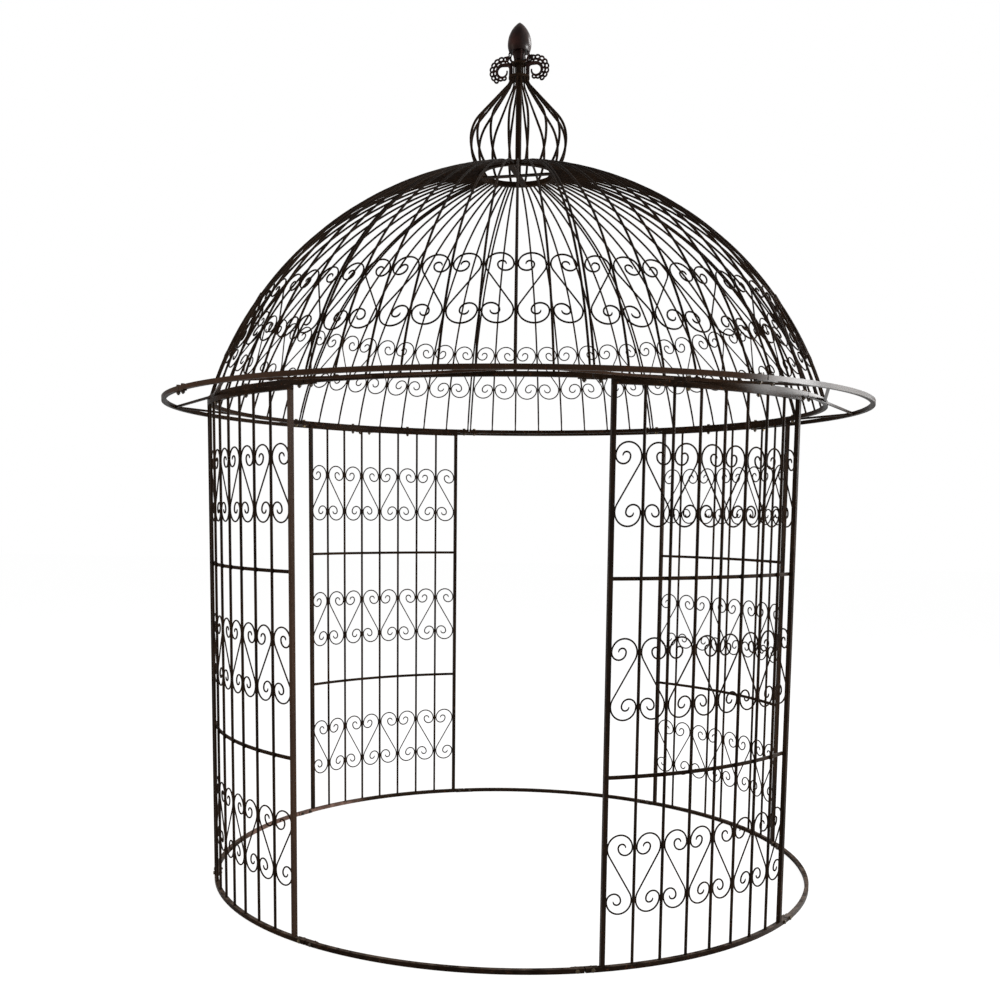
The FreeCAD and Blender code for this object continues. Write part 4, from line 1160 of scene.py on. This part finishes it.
lace_lines = [loop for row in LACE_ROWS for loop in lace_row(*row)] + [petal()]
lace_piece = round_the_axis("curled_leaf_lace", lace_lines, LACE / 2, sides=6, count=LEAVES,
                            finish=crown_casting)
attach(lace_piece, "root")
print("lace loops:", len(lace_lines) * LEAVES, "triangles:", triangles(lace_piece))

# %% [markdown]
# ## Calyx
# Under the bud of the finial sits a calyx: eight wires that bulge out from the leaf plate and close again
# under the bud. White slits stay open between them and the stem.

# %% Calyx
CALYX_WIRES = 8
CALYX_WIRE = 0.0062
CALYX_PATH = ((0.027, 0.002), (0.036, 0.007), (0.041, 0.017), (0.042, 0.029), (0.039, 0.038))
calyx_line = [(Vector((reach, 0, neck_high.z + rise)), 1.0) for reach, rise in CALYX_PATH]
calyx = round_the_axis("finial_calyx", [(calyx_line, False)], CALYX_WIRE / 2, sides=6, count=CALYX_WIRES,
                       finish=crown_casting, first_angle=180 / CALYX_WIRES)
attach(calyx, "root")
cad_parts["acorn_finial"].data.materials[0] = crown_casting
print("calyx wires:", CALYX_WIRES, "triangles:", triangles(calyx))

# %% [markdown]
# ## Floor
# The gazebo stands on a plain pale floor. The camera and mirror-like reflections see it nearly white, while
# its light on the iron stays at a plain level. The Light Path node tells the two apart.

# %% Floor
FLOOR_SIZE = 60.0
FLOOR_PALE = colour(0.90, 0.90, 0.90)
FLOOR_GLOW = 1.08
FLOOR_GLOW_SHARE = 0.86


def seen_directly(tree):
    """1 for what is seen straight, in a mirror or through glass, 0 for light on other things."""
    paths = add_node(tree, "ShaderNodeLightPath").outputs
    seen = Amount(tree, paths["Is Camera Ray"])
    for ray in ("Is Glossy Ray", "Is Transmission Ray"):
        seen = seen.math("MAXIMUM", seen, paths[ray])
    return seen


half = FLOOR_SIZE / 2
corners = [(-half, -half, 0), (half, -half, 0), (half, half, 0), (-half, half, 0)]
floor_mesh = bpy.data.meshes.new("floor")
floor_mesh.from_pydata(corners, [], [(0, 1, 2, 3)])
floor = bpy.data.objects.new("floor", floor_mesh)
scene.collection.objects.link(floor)
floor_white = bpy.data.materials.new("floor_white")
floor_white.use_nodes = True
tree = floor_white.node_tree
tree.nodes.clear()
pale = add_node(tree, "ShaderNodeBsdfDiffuse", None, {"Color": FLOOR_PALE})
bright = add_node(tree, "ShaderNodeEmission", None, {"Color": WHITE, "Strength": FLOOR_GLOW})
glow = add_node(tree, "ShaderNodeMixShader", None,
                {0: seen_directly(tree) * FLOOR_GLOW_SHARE, 1: pale.outputs[0], 2: bright.outputs[0]})
add_node(tree, "ShaderNodeOutputMaterial", None, {"Surface": glow.outputs[0]})
floor_mesh.materials.append(floor_white)
print("floor:", FLOOR_SIZE, "m")

# %% [markdown]
# ## Sky
# The sky is an even white, as in the photograph. As a light it is only about half as bright, so that the
# lamps can still shape the bars.

# %% Sky
SKY_LEVEL = 0.52
world = bpy.data.worlds.new("white_sky")
scene.world = world
world.use_nodes = True
tree = world.node_tree
tree.nodes.clear()
soft_sky = add_node(tree, "ShaderNodeBackground", None, {"Color": WHITE, "Strength": SKY_LEVEL})
white_sky = add_node(tree, "ShaderNodeBackground", None, {"Color": WHITE, "Strength": 1.0})
sky = add_node(tree, "ShaderNodeMixShader", None,
               {0: seen_directly(tree), 1: soft_sky.outputs[0], 2: white_sky.outputs[0]})
add_node(tree, "ShaderNodeOutputWorld", None, {"Surface": sky.outputs[0]})
print("sky as a light:", SKY_LEVEL)

# %% [markdown]
# ## Lamps
# Large soft lamps on the right give the long sheen on the hoop and on the right side of the finial. A weak
# warm one on the left keeps that side from going black.

# %% Lamps
def lamp(name, place, target, width, height, power, tint=(1.0, 1.0, 1.0)):
    """Soft rectangular lamp that points at a target."""
    light = bpy.data.lights.new(name, "AREA")
    light.shape = "RECTANGLE"
    light.size, light.size_y = width, height
    light.energy = power
    light.color = tint
    holder = bpy.data.objects.new(name, light)
    holder.location = place
    holder.rotation_euler = (Vector(target) - Vector(place)).to_track_quat("-Z", "Y").to_euler()
    scene.collection.objects.link(holder)
    return holder


lamps = [
    lamp("right_rim", (5.75, 4.0, 2.6), (0, 0, 1.9), 5.4, 1.4, 250),
    lamp("right_front", (7.0, 0.0, 2.6), (0, 0, 1.9), 2.9, 1.4, 610),
    lamp("right_sky", (4.3, 3.6, 5.7), (0, 0, 3.2), 2.4, 2.0, 240),
    lamp("left_fill", (-5.2, -2.4, 2.6), (0, 0, 1.5), 2.0, 2.0, 200, (1.0, 0.86, 0.74)),
]
scene.view_settings.view_transform = "Standard"
print("lamps:", [light.name for light in lamps])

# %% [markdown]
